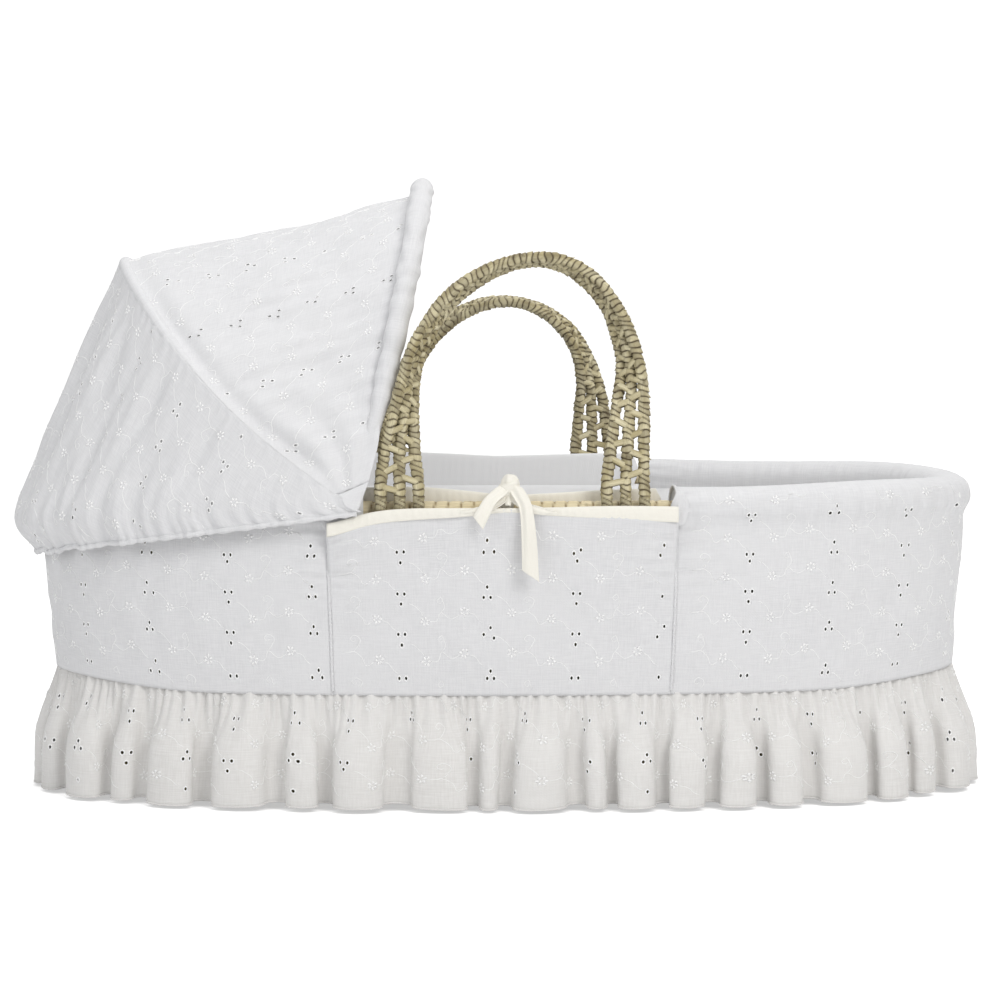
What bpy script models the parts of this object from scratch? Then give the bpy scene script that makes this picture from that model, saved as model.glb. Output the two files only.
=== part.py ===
"""Moses basket with a folding hood, two carrying handles and a fabric dressing.

Metres, +Z up.  The origin is the centre of the underside of the base, on the floor.
The head end (hood) is at -X and the foot end at +X.  Left is -Y and right is +Y, as seen
from the foot end.

Words used throughout:
  theta   parameter round the basket's plan: 0 at the foot end, pi / 2 at +Y, pi at the head
  off     distance outwards from the basket's outline, seen in plan
  side    -1 on the left (-Y), 1 on the right (+Y)
"""

import bpy
import bmesh
import math
from math import radians, sin, cos, pi
from mathutils import Matrix, Vector

for old in list(bpy.data.objects):
    bpy.data.objects.remove(old, do_unlink=True)

X_AXIS, Y_AXIS, Z_AXIS = Vector((1, 0, 0)), Vector((0, 1, 0)), Vector((0, 0, 1))
SIDES = (("left", -1), ("right", 1))

# ---------------------------------------------------------------- main dimensions
# The plan of the basket is a superellipse that widens from base to rim.
PLAN_POWER = 2.4
BASKET_HEIGHT = 0.260
RIM_A, RIM_B = 0.405, 0.1955       # half length and half width of the rim coil's centre line
BASE_A, BASE_B = 0.378, 0.152      # the same at the floor
STATIONS = 38                      # evenly spaced sections round the basket
STATION_GAP = 0.012                # least distance from one of these to a slot section
SPAN_GAP = 0.012                   # least step, in theta, beside the end of a part shell

SLOT_HEAD_X, SLOT_FOOT_X = -0.158, 0.142   # the cover's opening over each side rim
SLOT_LEAD = 0.009                  # distance into the slot of a second section
SEAM_GAP = 0.0003

# Hinge line of each handle, along X
HINGE_Y, HINGE_Z = 0.2080, 0.276   # HINGE_Y is |Y|
HINGE_OFF = 0.0150                 # the same line as an offset from the outline

# Pivots of the hood
PIVOT = Vector((-0.138, 0, 0.268))
PIVOT_HOLE_R = 0.0022              # hole in the hoop eyes and in the brackets


# ---------------------------------------------------------------- materials
def material(name, colour, roughness, metallic=0.0):
    mat = bpy.data.materials.new(name)
    mat.use_nodes = True
    inputs = mat.node_tree.nodes["Principled BSDF"].inputs
    inputs["Base Color"].default_value = (*colour, 1.0)
    inputs["Roughness"].default_value = roughness
    inputs["Metallic"].default_value = metallic
    mat.diffuse_color = (*colour, 1.0)
    return mat


COTTON = material("embroidered_cotton", colour=(0.84, 0.85, 0.86), roughness=0.90)
FRILL_COTTON = material("frill_cotton", colour=(0.86, 0.85, 0.82), roughness=0.90)
LINING = material("padded_lining", colour=(0.87, 0.87, 0.86), roughness=0.92)
RIBBON = material("cream_ribbon", colour=(0.88, 0.85, 0.76), roughness=0.80)
PALM = material("palm_leaf", colour=(0.40, 0.34, 0.17), roughness=0.70)
STRAW = material("pale_straw", colour=(0.66, 0.53, 0.26), roughness=0.70)
BOARD = material("base_weave", colour=(0.55, 0.44, 0.22), roughness=0.75)
WIRE = material("plated_wire", colour=(0.70, 0.70, 0.72), roughness=0.35, metallic=1.0)
CLIP = material("white_plastic", colour=(0.86, 0.86, 0.85), roughness=0.45)
TICKING = material("mattress_cover", colour=(0.90, 0.90, 0.89), roughness=0.90)
ELASTIC = material("elastic_cord", colour=(0.85, 0.85, 0.83), roughness=0.80)


# ---------------------------------------------------------------- curve helpers
def ramp(x, start, end):
    """0 up to start, 1 from end on, straight between."""
    return min(max((x - start) / (end - start), 0.0), 1.0)


def smooth_ramp(x, start, end):
    """As ramp, with eased ends."""
    share = ramp(x, start, end)
    return share * share * (3 - 2 * share)


def signed_power(base, power):
    return math.copysign(abs(base) ** power, base)


def evenly_along(point_at, start, end, steps, intervals):
    """Parameters that part the curve between start and end into equal lengths."""
    params = [start + (end - start) * k / steps for k in range(steps + 1)]
    points = [point_at(param) for param in params]
    run = [0.0]
    for here, there in zip(points, points[1:]):
        run.append(run[-1] + (there - here).length)
    found, k = [], 0
    for i in range(intervals + 1):
        goal = run[-1] * i / intervals
        while k < steps - 1 and run[k + 1] < goal:
            k += 1
        share = (goal - run[k]) / (run[k + 1] - run[k])
        found.append(params[k] + (params[k + 1] - params[k]) * share)
    return found


def bezier(start, control_1, control_2, end, t):
    rest = 1 - t
    return (start * rest ** 3 + control_1 * (3 * rest * rest * t)
            + control_2 * (3 * rest * t * t) + end * t ** 3)


def tangent(points, i):
    return (points[min(i + 1, len(points) - 1)] - points[max(i - 1, 0)]).normalized()


def frames(points, hint=Z_AXIS):
    """Unit side and up vectors along a path, carried without twist."""
    found, side = [], None
    for i in range(len(points)):
        along = tangent(points, i)
        side = along.cross(hint) if side is None else side - along * side.dot(along)
        side.normalize()
        found.append((side, along.cross(side).normalized()))
    return found


def circle(centre, across, up, radius, count):
    turns = [2 * pi * k / count for k in range(count)]
    return [centre + across * (radius * cos(turn)) + up * (radius * sin(turn)) for turn in turns]


# ---------------------------------------------------------------- plan of the basket
def half_sizes(z):
    depth = 1 - ramp(z, 0.0, BASKET_HEIGHT)
    return (BASE_A + (RIM_A - BASE_A) * (1 - depth ** 2),
            BASE_B + (RIM_B - BASE_B) * (1 - depth ** 1.6))


def outline(theta, height, off=0.0, z=None):
    """A point moved off outwards from the outline at a height, and set at z if given."""
    half_x, half_y = half_sizes(height)
    x = half_x * signed_power(cos(theta), 2 / PLAN_POWER)
    y = half_y * signed_power(sin(theta), 2 / PLAN_POWER)
    normal_x = signed_power(x / half_x, PLAN_POWER - 1) / half_x
    normal_y = signed_power(y / half_y, PLAN_POWER - 1) / half_y
    length = math.hypot(normal_x, normal_y)
    return Vector((x + off * normal_x / length, y + off * normal_y / length,
                   height if z is None else z))


def rim(theta, off=0.0, z=BASKET_HEIGHT):
    return outline(theta, BASKET_HEIGHT, off, z)


def theta_at(x, side):
    """The parameter where the rim's outline passes x on one side."""
    theta = math.acos(signed_power(x / RIM_A, PLAN_POWER / 2))
    return theta if side > 0 else 2 * pi - theta


def even_thetas(count):
    """Parameters spaced evenly along the rim."""
    return evenly_along(rim, 0.0, 2 * pi, steps=4000, intervals=count)[:-1]


def all_thetas():
    """Even sections, with those near the ends of the slots replaced by exact ones."""
    slot_thetas = [theta_at(x, side) for side in (1, -1)
                   for x in (SLOT_HEAD_X, SLOT_HEAD_X + SLOT_LEAD,
                             SLOT_FOOT_X, SLOT_FOOT_X - SLOT_LEAD)]
    clear = [theta for theta in even_thetas(STATIONS)
             if all((rim(theta) - rim(slot)).length > STATION_GAP for slot in slot_thetas)]
    return sorted(slot_thetas + clear)


THETAS = all_thetas()


def span(start, end):
    """The shared sections between two parameters, with both ends added."""
    inner = [theta + turn for turn in (0, 2 * pi) for theta in THETAS
             if start + SPAN_GAP < theta + turn < end - SPAN_GAP]
    return [start] + sorted(inner) + [end]


def slot_span(side, trim):
    """Sections along one slot, shortened by trim at each end."""
    return span(*sorted((theta_at(SLOT_HEAD_X + trim, side), theta_at(SLOT_FOOT_X - trim, side))))


# ---------------------------------------------------------------- mesh builders
def finish(name, verts, faces, mat, smooth=42, split=False):
    """Make the object; edges sharper than smooth degrees stay sharp."""
    mesh = bpy.data.meshes.new(name)
    mesh.from_pydata([tuple(vert) for vert in verts], [], faces)
    bm = bmesh.new()
    bm.from_mesh(mesh)
    bmesh.ops.recalc_face_normals(bm, faces=bm.faces)
    if split:
        bmesh.ops.triangulate(bm, faces=bm.faces, quad_method="SHORT_EDGE")
    bm.to_mesh(mesh)
    bm.free()
    mesh.materials.append(mat)
    mesh.shade_smooth()
    mesh.set_sharp_from_angle(angle=radians(smooth))
    obj = bpy.data.objects.new(name, mesh)
    bpy.context.scene.collection.objects.link(obj)
    return obj


def loft(name, rings, mat, closed=False, caps=None, smooth=42, split=False):
    """Skin equal rings of points.  caps lists faces, as ring indices, that shut both ends."""
    size, count = len(rings[0]), len(rings)
    verts = [point for ring in rings for point in ring]
    faces = []
    for i in range(count if closed else count - 1):
        here, there = i * size, ((i + 1) % count) * size
        for j in range(size):
            k = (j + 1) % size
            faces.append((here + j, here + k, there + k, there + j))
    if not closed:
        last = (count - 1) * size
        for cap in caps or [tuple(range(size))]:
            faces.append(tuple(cap))
            faces.append(tuple(last + i for i in reversed(cap)))
    return finish(name, verts, faces, mat, smooth, split)


def strip_caps(rows):
    """End faces of a ring made of an outer and an inner row of points."""
    size = 2 * rows
    return [(i, i + 1, size - 2 - i, size - 1 - i) for i in range(rows - 1)]


def shell(name, thetas, profile_at, mat, closed=False):
    """A sheet round the basket.  profile_at gives outer and inner (off, z) rows at a theta."""
    rings = []
    for theta in thetas:
        outer, inner = profile_at(theta)
        rings.append([outline(theta, z, off) for off, z in outer + inner[::-1]])
    return loft(name, rings, mat, closed, strip_caps(len(outer)))


def tube(name, points, radii, count, mat, hint=Z_AXIS):
    rings = [circle(point, across, up, radius, count)
             for point, radius, (across, up) in zip(points, radii, frames(points, hint))]
    return loft(name, rings, mat, smooth=60)


def disc(name, centre, radius, depth, mat):
    """A round plate of 24 sides with its axis along Y."""
    across = Y_AXIS.orthogonal().normalized()
    up = Y_AXIS.cross(across)
    rings = [circle(centre + Y_AXIS * y, across, up, radius, 24) for y in (-depth / 2, depth / 2)]
    return loft(name, rings, mat)


def thick_grid(name, grid, thickness, mat):
    """A closed sheet of the given thickness about a grid of points."""
    rows, cols = len(grid), len(grid[0])
    top, low = [], []
    for i in range(rows):
        for j in range(cols):
            down_rows = grid[min(i + 1, rows - 1)][j] - grid[max(i - 1, 0)][j]
            along_row = grid[i][min(j + 1, cols - 1)] - grid[i][max(j - 1, 0)]
            half = down_rows.cross(along_row).normalized() * (thickness / 2)
            top.append(grid[i][j] + half)
            low.append(grid[i][j] - half)
    shift = rows * cols
    faces = []
    for i in range(rows - 1):
        for j in range(cols - 1):
            first = i * cols + j
            quad = (first, first + 1, first + cols + 1, first + cols)
            faces.append(quad)
            faces.append(tuple(shift + k for k in reversed(quad)))
    edge = ([j for j in range(cols)]
            + [i * cols + cols - 1 for i in range(1, rows)]
            + [(rows - 1) * cols + j for j in range(cols - 2, -1, -1)]
            + [i * cols for i in range(rows - 2, 0, -1)])
    for here, there in zip(edge, edge[1:] + edge[:1]):
        faces.append((there, here, shift + here, shift + there))
    return finish(name, top + low, faces, mat)


def boolean(obj, cutter, operation):
    cutter.hide_render = True
    cutter.display_type = "WIRE"
    modifier = obj.modifiers.new(operation.lower() + "_" + cutter.name, "BOOLEAN")
    modifier.operation = operation
    modifier.object = cutter
    modifier.solver = "EXACT"


def hinge(name, location):
    empty = bpy.data.objects.new(name, None)
    empty.empty_display_size = 0.03
    empty.location = location
    bpy.context.scene.collection.objects.link(empty)
    return empty


def ride(obj, empty):
    """Hang obj, already placed in world space, from an empty on its hinge."""
    obj.parent = empty
    obj.matrix_parent_inverse = Matrix.Translation(-Vector(empty.location))


# ---------------------------------------------------------------- woven basket
WALL_T = 0.006
WALL_ROWS = (0.001, 0.05, 0.12, 0.19, 0.2525)
BASE_T = 0.008
BASE_GAP = 0.0005                  # between the base and the wall
COIL_R, COIL_Z = 0.009, 0.2625
COIL_SIDES = 8


def build_basket():
    base_off = -(WALL_T / 2 + BASE_GAP)
    loft("basket_base",
         [[outline(theta, 0.0, base_off, z) for theta in THETAS] for z in (0.0, BASE_T)], BOARD)

    outer, inner = ([(off, z) for z in WALL_ROWS] for off in (WALL_T / 2, -WALL_T / 2))
    shell("basket_wall", THETAS, lambda theta: (outer, inner), STRAW, closed=True)

    turns = [2 * pi * k / COIL_SIDES for k in range(COIL_SIDES)]
    loft("rim_coil",
         [[rim(theta, COIL_R * cos(turn), COIL_Z + COIL_R * sin(turn)) for turn in turns]
          for theta in THETAS], STRAW, closed=True, smooth=60)


# ---------------------------------------------------------------- mattress and padded liner
MATTRESS_Z0 = 0.010
MATTRESS_ROWS = [(-.0235, MATTRESS_Z0), (-.0195, .016), (-.0195, .038), (-.0245, .045)]  # off, z

# Outer and inner rows of (off, z): in the slots the liner stands up beside the rim coil,
# elsewhere it stops below the cover's turned-in edge.
LINER_IN_SLOT = ([(-.0045, .010), (-.0045, .246), (-.0132, .2500), (-.0136, .2620)],
                 [(-.0165, .010), (-.0165, .200), (-.0166, .2500), (-.0164, .2620)])
LINER_AT_ENDS = ([(-.0045, .010), (-.0045, .244), (-.0080, .2490), (-.0116, .2505)],
                 [(-.0165, .010), (-.0165, .200), (-.0165, .2470), (-.0146, .2505)])
LINER_TRIM = 0.004                 # how far inside the slot ends the raised liner starts


def build_mattress():
    loft("mattress", [[outline(theta, MATTRESS_Z0, off, z) for theta in THETAS]
                      for off, z in MATTRESS_ROWS], TICKING)


def liner_profile(theta):
    in_slot = SLOT_HEAD_X + LINER_TRIM < rim(theta).x < SLOT_FOOT_X - LINER_TRIM
    return LINER_IN_SLOT if in_slot else LINER_AT_ENDS


def build_liner():
    shell("padded_liner", THETAS, liner_profile, LINING, closed=True)


# ---------------------------------------------------------------- fitted cover and frill
SKIRT_TOP = 0.106                  # lower edge of the fitted cover, just above the frill's top
# Outer and inner rows of (off, z): the end panels wrap over the rim coil, the side panels
# stop at the slots.
COVER_END = ([(.0130, SKIRT_TOP), (.0135, .190), (.0138, .250), (.0128, .2705), (.0, .2768),
              (-.0128, .2705), (-.0138, .262), (-.0138, .2525)],
             [(.0100, SKIRT_TOP), (.0105, .190), (.0108, .250), (.0096, .2690), (.0, .2738),
              (-.0096, .2690), (-.0108, .262), (-.0108, .2525)])
COVER_SIDE = ([(.0130, SKIRT_TOP), (.0135, .160), (.0145, .200), (.0185, .235), (.0245, .2515)],
              [(.0100, SKIRT_TOP), (.0108, .160), (.0115, .200), (.0158, .235), (.0220, .2515)])

# Ribbon bindings along both edges of each slot
OUTER_BINDING = ([(.0255, .2520), (.0255, .2620)], [(.0215, .2520), (.0215, .2620)])
INNER_BINDING = ([(-.0132, .2630), (-.0132, .2800)], [(-.0168, .2630), (-.0168, .2800)])
INNER_BINDING_TRIM = 0.010

FRILL_TOP, FRILL_HEM = 0.1045, 0.002
FRILL_FOLDS, SECTIONS_PER_FOLD = 22, 4
FRILL_TOP_OFF = 0.0115
FRILL_FLARE, FRILL_WAVE = 0.0165, 0.0085   # mean spread at the hem, and the folds' amplitude
FRILL_PHASE = 0.4
FRILL_T = 0.002
FRILL_ROWS = (0.0, 0.45, 1.0)      # shares of the way down


def build_cover():
    head_x, foot_x = SLOT_HEAD_X - SEAM_GAP, SLOT_FOOT_X + SEAM_GAP
    shell("cover_head_panel", span(theta_at(head_x, 1), theta_at(head_x, -1)),
          lambda theta: COVER_END, COTTON)
    shell("cover_foot_panel", span(theta_at(foot_x, -1), theta_at(foot_x, 1) + 2 * pi),
          lambda theta: COVER_END, COTTON)
    for label, side in SIDES:
        shell("cover_" + label + "_panel", slot_span(side, SEAM_GAP),
              lambda theta: COVER_SIDE, COTTON)


def build_bindings():
    for label, side in SIDES:
        shell(label + "_outer_binding", slot_span(side, 2 * SEAM_GAP),
              lambda theta: OUTER_BINDING, RIBBON)
        shell(label + "_inner_binding", slot_span(side, INNER_BINDING_TRIM),
              lambda theta: INNER_BINDING, RIBBON)


def build_frill():
    rows = ([(share, FRILL_T / 2) for share in FRILL_ROWS]
            + [(share, -FRILL_T / 2) for share in reversed(FRILL_ROWS)])
    rings = []
    for i, theta in enumerate(even_thetas(SECTIONS_PER_FOLD * FRILL_FOLDS)):
        spread = FRILL_FLARE + FRILL_WAVE * cos(2 * pi * i / SECTIONS_PER_FOLD + FRILL_PHASE)
        rings.append([outline(theta, FRILL_TOP, FRILL_TOP_OFF + share * spread + skin,
                              FRILL_TOP + (FRILL_HEM - FRILL_TOP) * share)
                      for share, skin in rows])
    loft("frill", rings, FRILL_COTTON, closed=True, split=True)


# ---------------------------------------------------------------- handles
CORD_R, CORD_SIDES = 0.0055, 6
CORD_GAP = 0.001                   # between neighbouring cords where the pitch limits them
CORD_START = 0.0062                # height of the cord ends above the hinge line
CORD_STEPS = 19
LEFT_LEAN = radians(8.0)           # towards the basket
RIGHT_LEAN = radians(-2.0)         # away from the basket
FOOT_PITCH = 0.0165                # spacing of the three cords at the feet

# The middle of each band of three cords, from the head foot to the foot-end foot:
# x, height along the leaning plane, cord spacing, twist of the band in degrees
LEFT_BAND = [
    (-.0975, .0, FOOT_PITCH, 0), (-.0975, .015, .0160, 0), (-.0975, .035, .0135, 0),
    (-.0955, .058, .0115, 25), (-.0925, .080, .0105, 42), (-.0885, .105, .0103, 60),
    (-.0820, .128, .0103, 65), (-.0700, .150, .0103, 68), (-.0550, .170, .0103, 72),
    (-.0350, .187, .0103, 76), (-.0100, .200, .0103, 82), (.0180, .2065, .0103, 85),
    (.0450, .203, .0103, 80), (.0670, .190, .0103, 72), (.0840, .170, .0103, 68),
    (.0945, .148, .0103, 60), (.1015, .125, .0105, 52), (.1040, .103, .0108, 35),
    (.1030, .080, .0120, 12), (.1005, .045, .0140, 0), (.0985, .015, .0160, 0),
    (.0985, .0, FOOT_PITCH, 0)]
RIGHT_BAND = [
    (-.0975, .0, FOOT_PITCH, 0), (-.0975, .015, .0160, 0), (-.0970, .035, .0135, 0),
    (-.0940, .065, .0110, 30), (-.0870, .090, .0103, 50), (-.0750, .113, .0103, 62),
    (-.0560, .134, .0103, 68), (-.0330, .149, .0103, 74), (-.0060, .158, .0103, 82),
    (.0220, .1575, .0103, 84), (.0470, .147, .0103, 76), (.0670, .130, .0103, 68),
    (.0810, .107, .0103, 58), (.0880, .080, .0108, 36), (.0900, .050, .0128, 8),
    (.0905, .015, .0160, 0), (.0905, .0, FOOT_PITCH, 0)]

# Section of a tail as (off, z): up the wall side, over the hinge line and down the outside
TAIL_CURL_R = 0.0055
TAIL_PROFILE = (
    [(.0042, .110), (.0042, .150), (.0042, .190), (.0042, .236),
     (.0095, .249), (.0099, .264), (.0097, .276)]
    + [(HINGE_OFF + TAIL_CURL_R * cos(pi - k * pi / 6),
        HINGE_Z + TAIL_CURL_R * sin(pi - k * pi / 6)) for k in range(1, 7)]
    + [(.0188, .2721), (.0168, .2690), (.0205, .2650), (.0205, .252), (.0135, .238),
       (.009, .228), (.009, .190), (.009, .150), (.009, .110)])
TAIL_STATIONS = (-0.022, -0.0075, 0.0075, 0.022)   # x from the tail's middle
TAIL_STRAIGHTENS = (0.2655, 0.2720)                # z between which the wall's curve is left


def tail_point(x, side, off, z):
    """Follows the wall low down and the straight hinge line near the top."""
    curved = outline(theta_at(x, side), z, off)
    straight = Vector((x, side * (HINGE_Y - HINGE_OFF + off), z))
    return curved.lerp(straight, smooth_ramp(z, *TAIL_STRAIGHTENS))


def build_tails(label, side, band):
    """The flat pieces against the wall that hold the two feet of a handle."""
    for end, foot in (("head", band[0]), ("foot", band[-1])):
        rings = [[tail_point(foot[0] + shift, side, off, z) for off, z in TAIL_PROFILE]
                 for shift in TAIL_STATIONS]
        loft("%s_handle_%s_tail" % (label, end), rings, PALM)


def band_at(band, place):
    """Catmull-Rom through the band's rows; place counts in rows."""
    i = min(int(place), len(band) - 2)
    f = place - i
    near = [band[max(i - 1, 0)], band[i], band[i + 1], band[min(i + 2, len(band) - 1)]]
    return [b + 0.5 * f * (c - a + f * (2 * a - 5 * b + 4 * c - d + f * (3 * (b - c) + d - a)))
            for a, b, c, d in zip(*near)]


def build_handle(label, side, lean, band):
    """Three cords that hang from an empty on the hinge line."""
    up = Vector((0, -side * sin(lean), cos(lean)))
    out = Vector((0, side * cos(lean), sin(lean)))
    foot = Vector((0, side * HINGE_Y, HINGE_Z))
    path = [band_at(band, (len(band) - 1) * k / CORD_STEPS) for k in range(CORD_STEPS + 1)]
    middle = [X_AXIS * x + up * height for x, height, _, _ in path]
    radii = [min(CORD_R, (pitch - CORD_GAP) / 2) for _, _, pitch, _ in path]
    empty = hinge(label + "_handle_hinge", foot)
    for word, place in (("outer", 1), ("middle", 0), ("inner", -1)):
        points = []
        for i, (_, _, pitch, twist) in enumerate(path):
            wide = out.cross(tangent(middle, i)).normalized() * -side
            turn = radians(twist)
            points.append(foot + middle[i]
                          + (wide * cos(turn) + out * sin(turn)) * (place * pitch))
        # both ends stand square to the hinge line, just clear of the tails
        for end in (0, -1):
            points[end] = points[end] + up * (CORD_START - (points[end] - foot).dot(up))
        ride(tube("%s_handle_%s_cord" % (label, word), points, radii, CORD_SIDES, PALM,
                  hint=X_AXIS), empty)


def build_handles():
    for (label, side), lean, band in zip(SIDES, (LEFT_LEAN, RIGHT_LEAN),
                                         (LEFT_BAND, RIGHT_BAND)):
        build_tails(label, side, band)
        build_handle(label, side, lean, band)


# ---------------------------------------------------------------- ribbon ties
KNOT_PLACE = (-.004, .002, .2880)                  # x, off, z
KNOT_HALF_X, KNOT_HALF_Y, KNOT_HALF_Z = 0.0085, 0.0075, 0.0078
# share of the half length, share of the half width and height
KNOT_RINGS = [(-1.0, 0.35), (-0.6, 0.85), (0.0, 1.0), (0.6, 0.85), (1.0, 0.35)]
KNOT_SIDES = 8
TAPE_T = 0.0012
# name, tape width, path as x, off, z
TIE_TAILS = [
    ("long", 0.013, [(.004, .0115, .2865), (.008, .0190, .2810), (.011, .0285, .2680),
                     (.012, .0300, .2480), (.0135, .0280, .2300), (.0145, .0250, .2110)]),
    ("short", 0.012, [(-.0130, .0115, .2865), (-.0180, .0200, .2800), (-.0240, .0290, .2680),
                      (-.0290, .0300, .2560)])]


def beside_rim(side, x, off, z):
    """A point moved straight sideways from the rim's outline."""
    return Vector((x, side * (abs(rim(theta_at(x, side)).y) + off), z))


def tape(name, path, width):
    """A flat ribbon that keeps its width as near to X as the path allows."""
    rings = []
    for i, point in enumerate(path):
        along = tangent(path, i)
        across = (X_AXIS - along * along.x).normalized()
        wide = across * width / 2
        thick = along.cross(across) * TAPE_T / 2
        rings.append([point - wide - thick, point + wide - thick,
                      point + wide + thick, point - wide + thick])
    loft(name, rings, RIBBON)


def build_ties():
    turns = [2 * pi * k / KNOT_SIDES for k in range(KNOT_SIDES)]
    for label, side in SIDES:
        centre = beside_rim(side, *KNOT_PLACE)
        rings = [[centre + Vector((KNOT_HALF_X * along, KNOT_HALF_Y * girth * cos(turn),
                                   KNOT_HALF_Z * girth * sin(turn))) for turn in turns]
                 for along, girth in KNOT_RINGS]
        loft(label + "_tie_knot", rings, RIBBON, smooth=60)
        for word, width, path in TIE_TAILS:
            tape("%s_tie_tail_%s" % (label, word),
                 [beside_rim(side, *place) for place in path], width)


# ---------------------------------------------------------------- hood hoops
HOOP_POWER = 2.2
WIRE_R, WIRE_SIDES, WIRE_POINTS = 0.0014, 8, 26
WIRE_START = 0.0034                # rise of the wire's ends above the pivots
EYE_R, EYE_T = 0.005, 0.003
SLEEVE_BORE, SLEEVE_SIDES, SLEEVE_POINTS = 0.0022, 8, 25
SLEEVE_START = 0.021
SLEEVE_FULL = 0.062                # rise where the sleeve has swelled out
SLEEVE_END_R, SLEEVE_SWELL, SLEEVE_TOP_SWELL = 0.0043, 0.0042, 0.0010


class Hoop:
    """A half superellipse over the basket, tilted about the pivots; +angle leans to the foot.

    phi runs from 0 at the -Y pivot over the top to pi at the +Y pivot.  bow is how far the
    hoop curves out of its plane, towards +X if positive.
    """

    def __init__(self, angle, height, half_width, bow):
        self.height, self.half_width, self.bow = height, half_width, bow
        self.up = Vector((sin(angle), 0, cos(angle)))
        self.forward = Vector((cos(angle), 0, -sin(angle)))

    def shares(self, phi):
        """Shares of the height and of the half width."""
        return max(sin(phi), 0.0) ** (2 / HOOP_POWER), -signed_power(cos(phi), 2 / HOOP_POWER)

    def point(self, phi):
        rise, across = self.shares(phi)
        return (PIVOT + self.up * (self.height * rise) + Y_AXIS * (self.half_width * across)
                + self.forward * (self.bow * sin(pi * min(rise, 1.0))))

    def outward(self, phi):
        """Unit normal in the hoop's plane."""
        rise, across = self.shares(phi)
        return (self.up * (rise ** (HOOP_POWER - 1) / self.height)
                + Y_AXIS * (signed_power(across, HOOP_POWER - 1) / self.half_width)).normalized()

    def rise_of(self, point):
        return (point - PIVOT).dot(self.up)

    def even_phis(self, start_rise, count):
        """Parameters spaced evenly along the hoop, starting start_rise above each pivot."""
        start = math.asin((start_rise / self.height) ** (HOOP_POWER / 2))
        return evenly_along(self.point, start, pi - start, steps=600, intervals=count - 1)


FRONT = Hoop(angle=radians(12.8), height=0.2806, half_width=0.2045, bow=0.004)
REAR = Hoop(angle=radians(-45.0), height=0.2936, half_width=0.2085, bow=-0.017)


def build_wire(name, hoop, empty):
    """A wire hoop with a drilled eye at each end."""
    points = [hoop.point(phi) for phi in hoop.even_phis(WIRE_START, WIRE_POINTS)]
    points[0].y, points[-1].y = -hoop.half_width, hoop.half_width
    wire = tube(name, points, [WIRE_R] * WIRE_POINTS, WIRE_SIDES, WIRE)
    ride(wire, empty)
    for word, radius, depth, operation in (("eye", EYE_R, EYE_T, "UNION"),
                                           ("hole", PIVOT_HOLE_R, EYE_T * 3, "DIFFERENCE")):
        for side in (-1, 1):
            centre = PIVOT + Y_AXIS * (side * hoop.half_width)
            cutter = disc("%s_%s_%d" % (name, word, side), centre, radius, depth, WIRE)
            boolean(wire, cutter, operation)


def sleeve_radius(rise):
    return (SLEEVE_END_R + SLEEVE_SWELL * ramp(rise, SLEEVE_START, SLEEVE_FULL)
            + SLEEVE_TOP_SWELL * min(rise / FRONT.height, 1.0))


def build_sleeve(empty):
    """The padded roll round the front hoop: an outer skin and a bore, joined at both ends."""
    points = [FRONT.point(phi) for phi in FRONT.even_phis(SLEEVE_START, SLEEVE_POINTS)]
    verts = []
    for point, (across, up) in zip(points, frames(points)):
        radius = sleeve_radius(FRONT.rise_of(point))
        verts += circle(point, across, up, radius, SLEEVE_SIDES)
        verts += reversed(circle(point, across, up, SLEEVE_BORE, SLEEVE_SIDES))
    size = 2 * SLEEVE_SIDES
    last = (SLEEVE_POINTS - 1) * size
    faces = []
    for j in range(SLEEVE_SIDES):
        k = (j + 1) % SLEEVE_SIDES
        for here in range(0, last, size):
            there = here + size
            for skin in (0, SLEEVE_SIDES):
                faces.append((here + skin + j, here + skin + k,
                              there + skin + k, there + skin + j))
        for end in (0, last):
            faces.append((end + j, end + k, end + size - 1 - k, end + size - 1 - j))
    ride(finish("hood_front_sleeve", verts, faces, COTTON, smooth=60), empty)


# ---------------------------------------------------------------- hood fabric
SHEET_T = 0.0016
COVER_Y = 0.2155                   # |Y| where the fabric passes outside the pins
FAN = 23                           # lines of points across the hood, from -Y to +Y
FRONT_START, REAR_START = 0.024, 0.017     # rise of the fabric's ends above the pivots
FRONT_STEPS = 4                    # steps from the front hoop to the rear hoop
PANEL_GAP = 0.0030                 # the front panel stops this short of the rear edge line
REAR_LIFT = 0.0044                 # of the fabric above the rear wire's centre line
REAR_SETBACK = 0.0016              # the rear panel starts this far behind the rear edge line
REAR_STEPS = 5                     # steps from the rear hoop to the fullest line

ELASTIC_R, ELASTIC_SIDES, ELASTIC_STEPS = 0.0013, 6, 24
ELASTIC_START = 0.015              # share of the hem left free at each end
ELASTIC_DROP = 0.0036              # below the hem

# Two lines of the rear panel round the head end.  Heights and offsets run from their head
# value to their front value; off_blend gives the shares of the way between which off changes.
HEM = dict(front_x=-0.1275, head_z=0.2165, front_z=0.2640, z_power=1.55,
           head_off=0.0205, front_off=0.0290, off_blend=(0.15, 0.62))
BULGE = dict(front_x=-0.1400, head_z=0.2460, front_z=0.2745, z_power=1.5,
             head_off=0.0370, front_off=0.0300, off_blend=(0.1, 0.75))


def outside_pins(point, high):
    """Move a point out to COVER_Y as high falls from 1 to 0."""
    if abs(point.y) < COVER_Y:
        point.y = point.y * high + math.copysign(COVER_Y, point.y) * (1 - high)
    return point


def front_edge(phi):
    """Where the front panel leaves the padded roll."""
    point = FRONT.point(phi)
    high = smooth_ramp(FRONT.rise_of(point), 0.03, 0.075)
    inset, setback = 0.009 * high, 0.0122 - 0.0045 * high
    return outside_pins(point - FRONT.outward(phi) * inset - FRONT.forward * setback, high)


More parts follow.
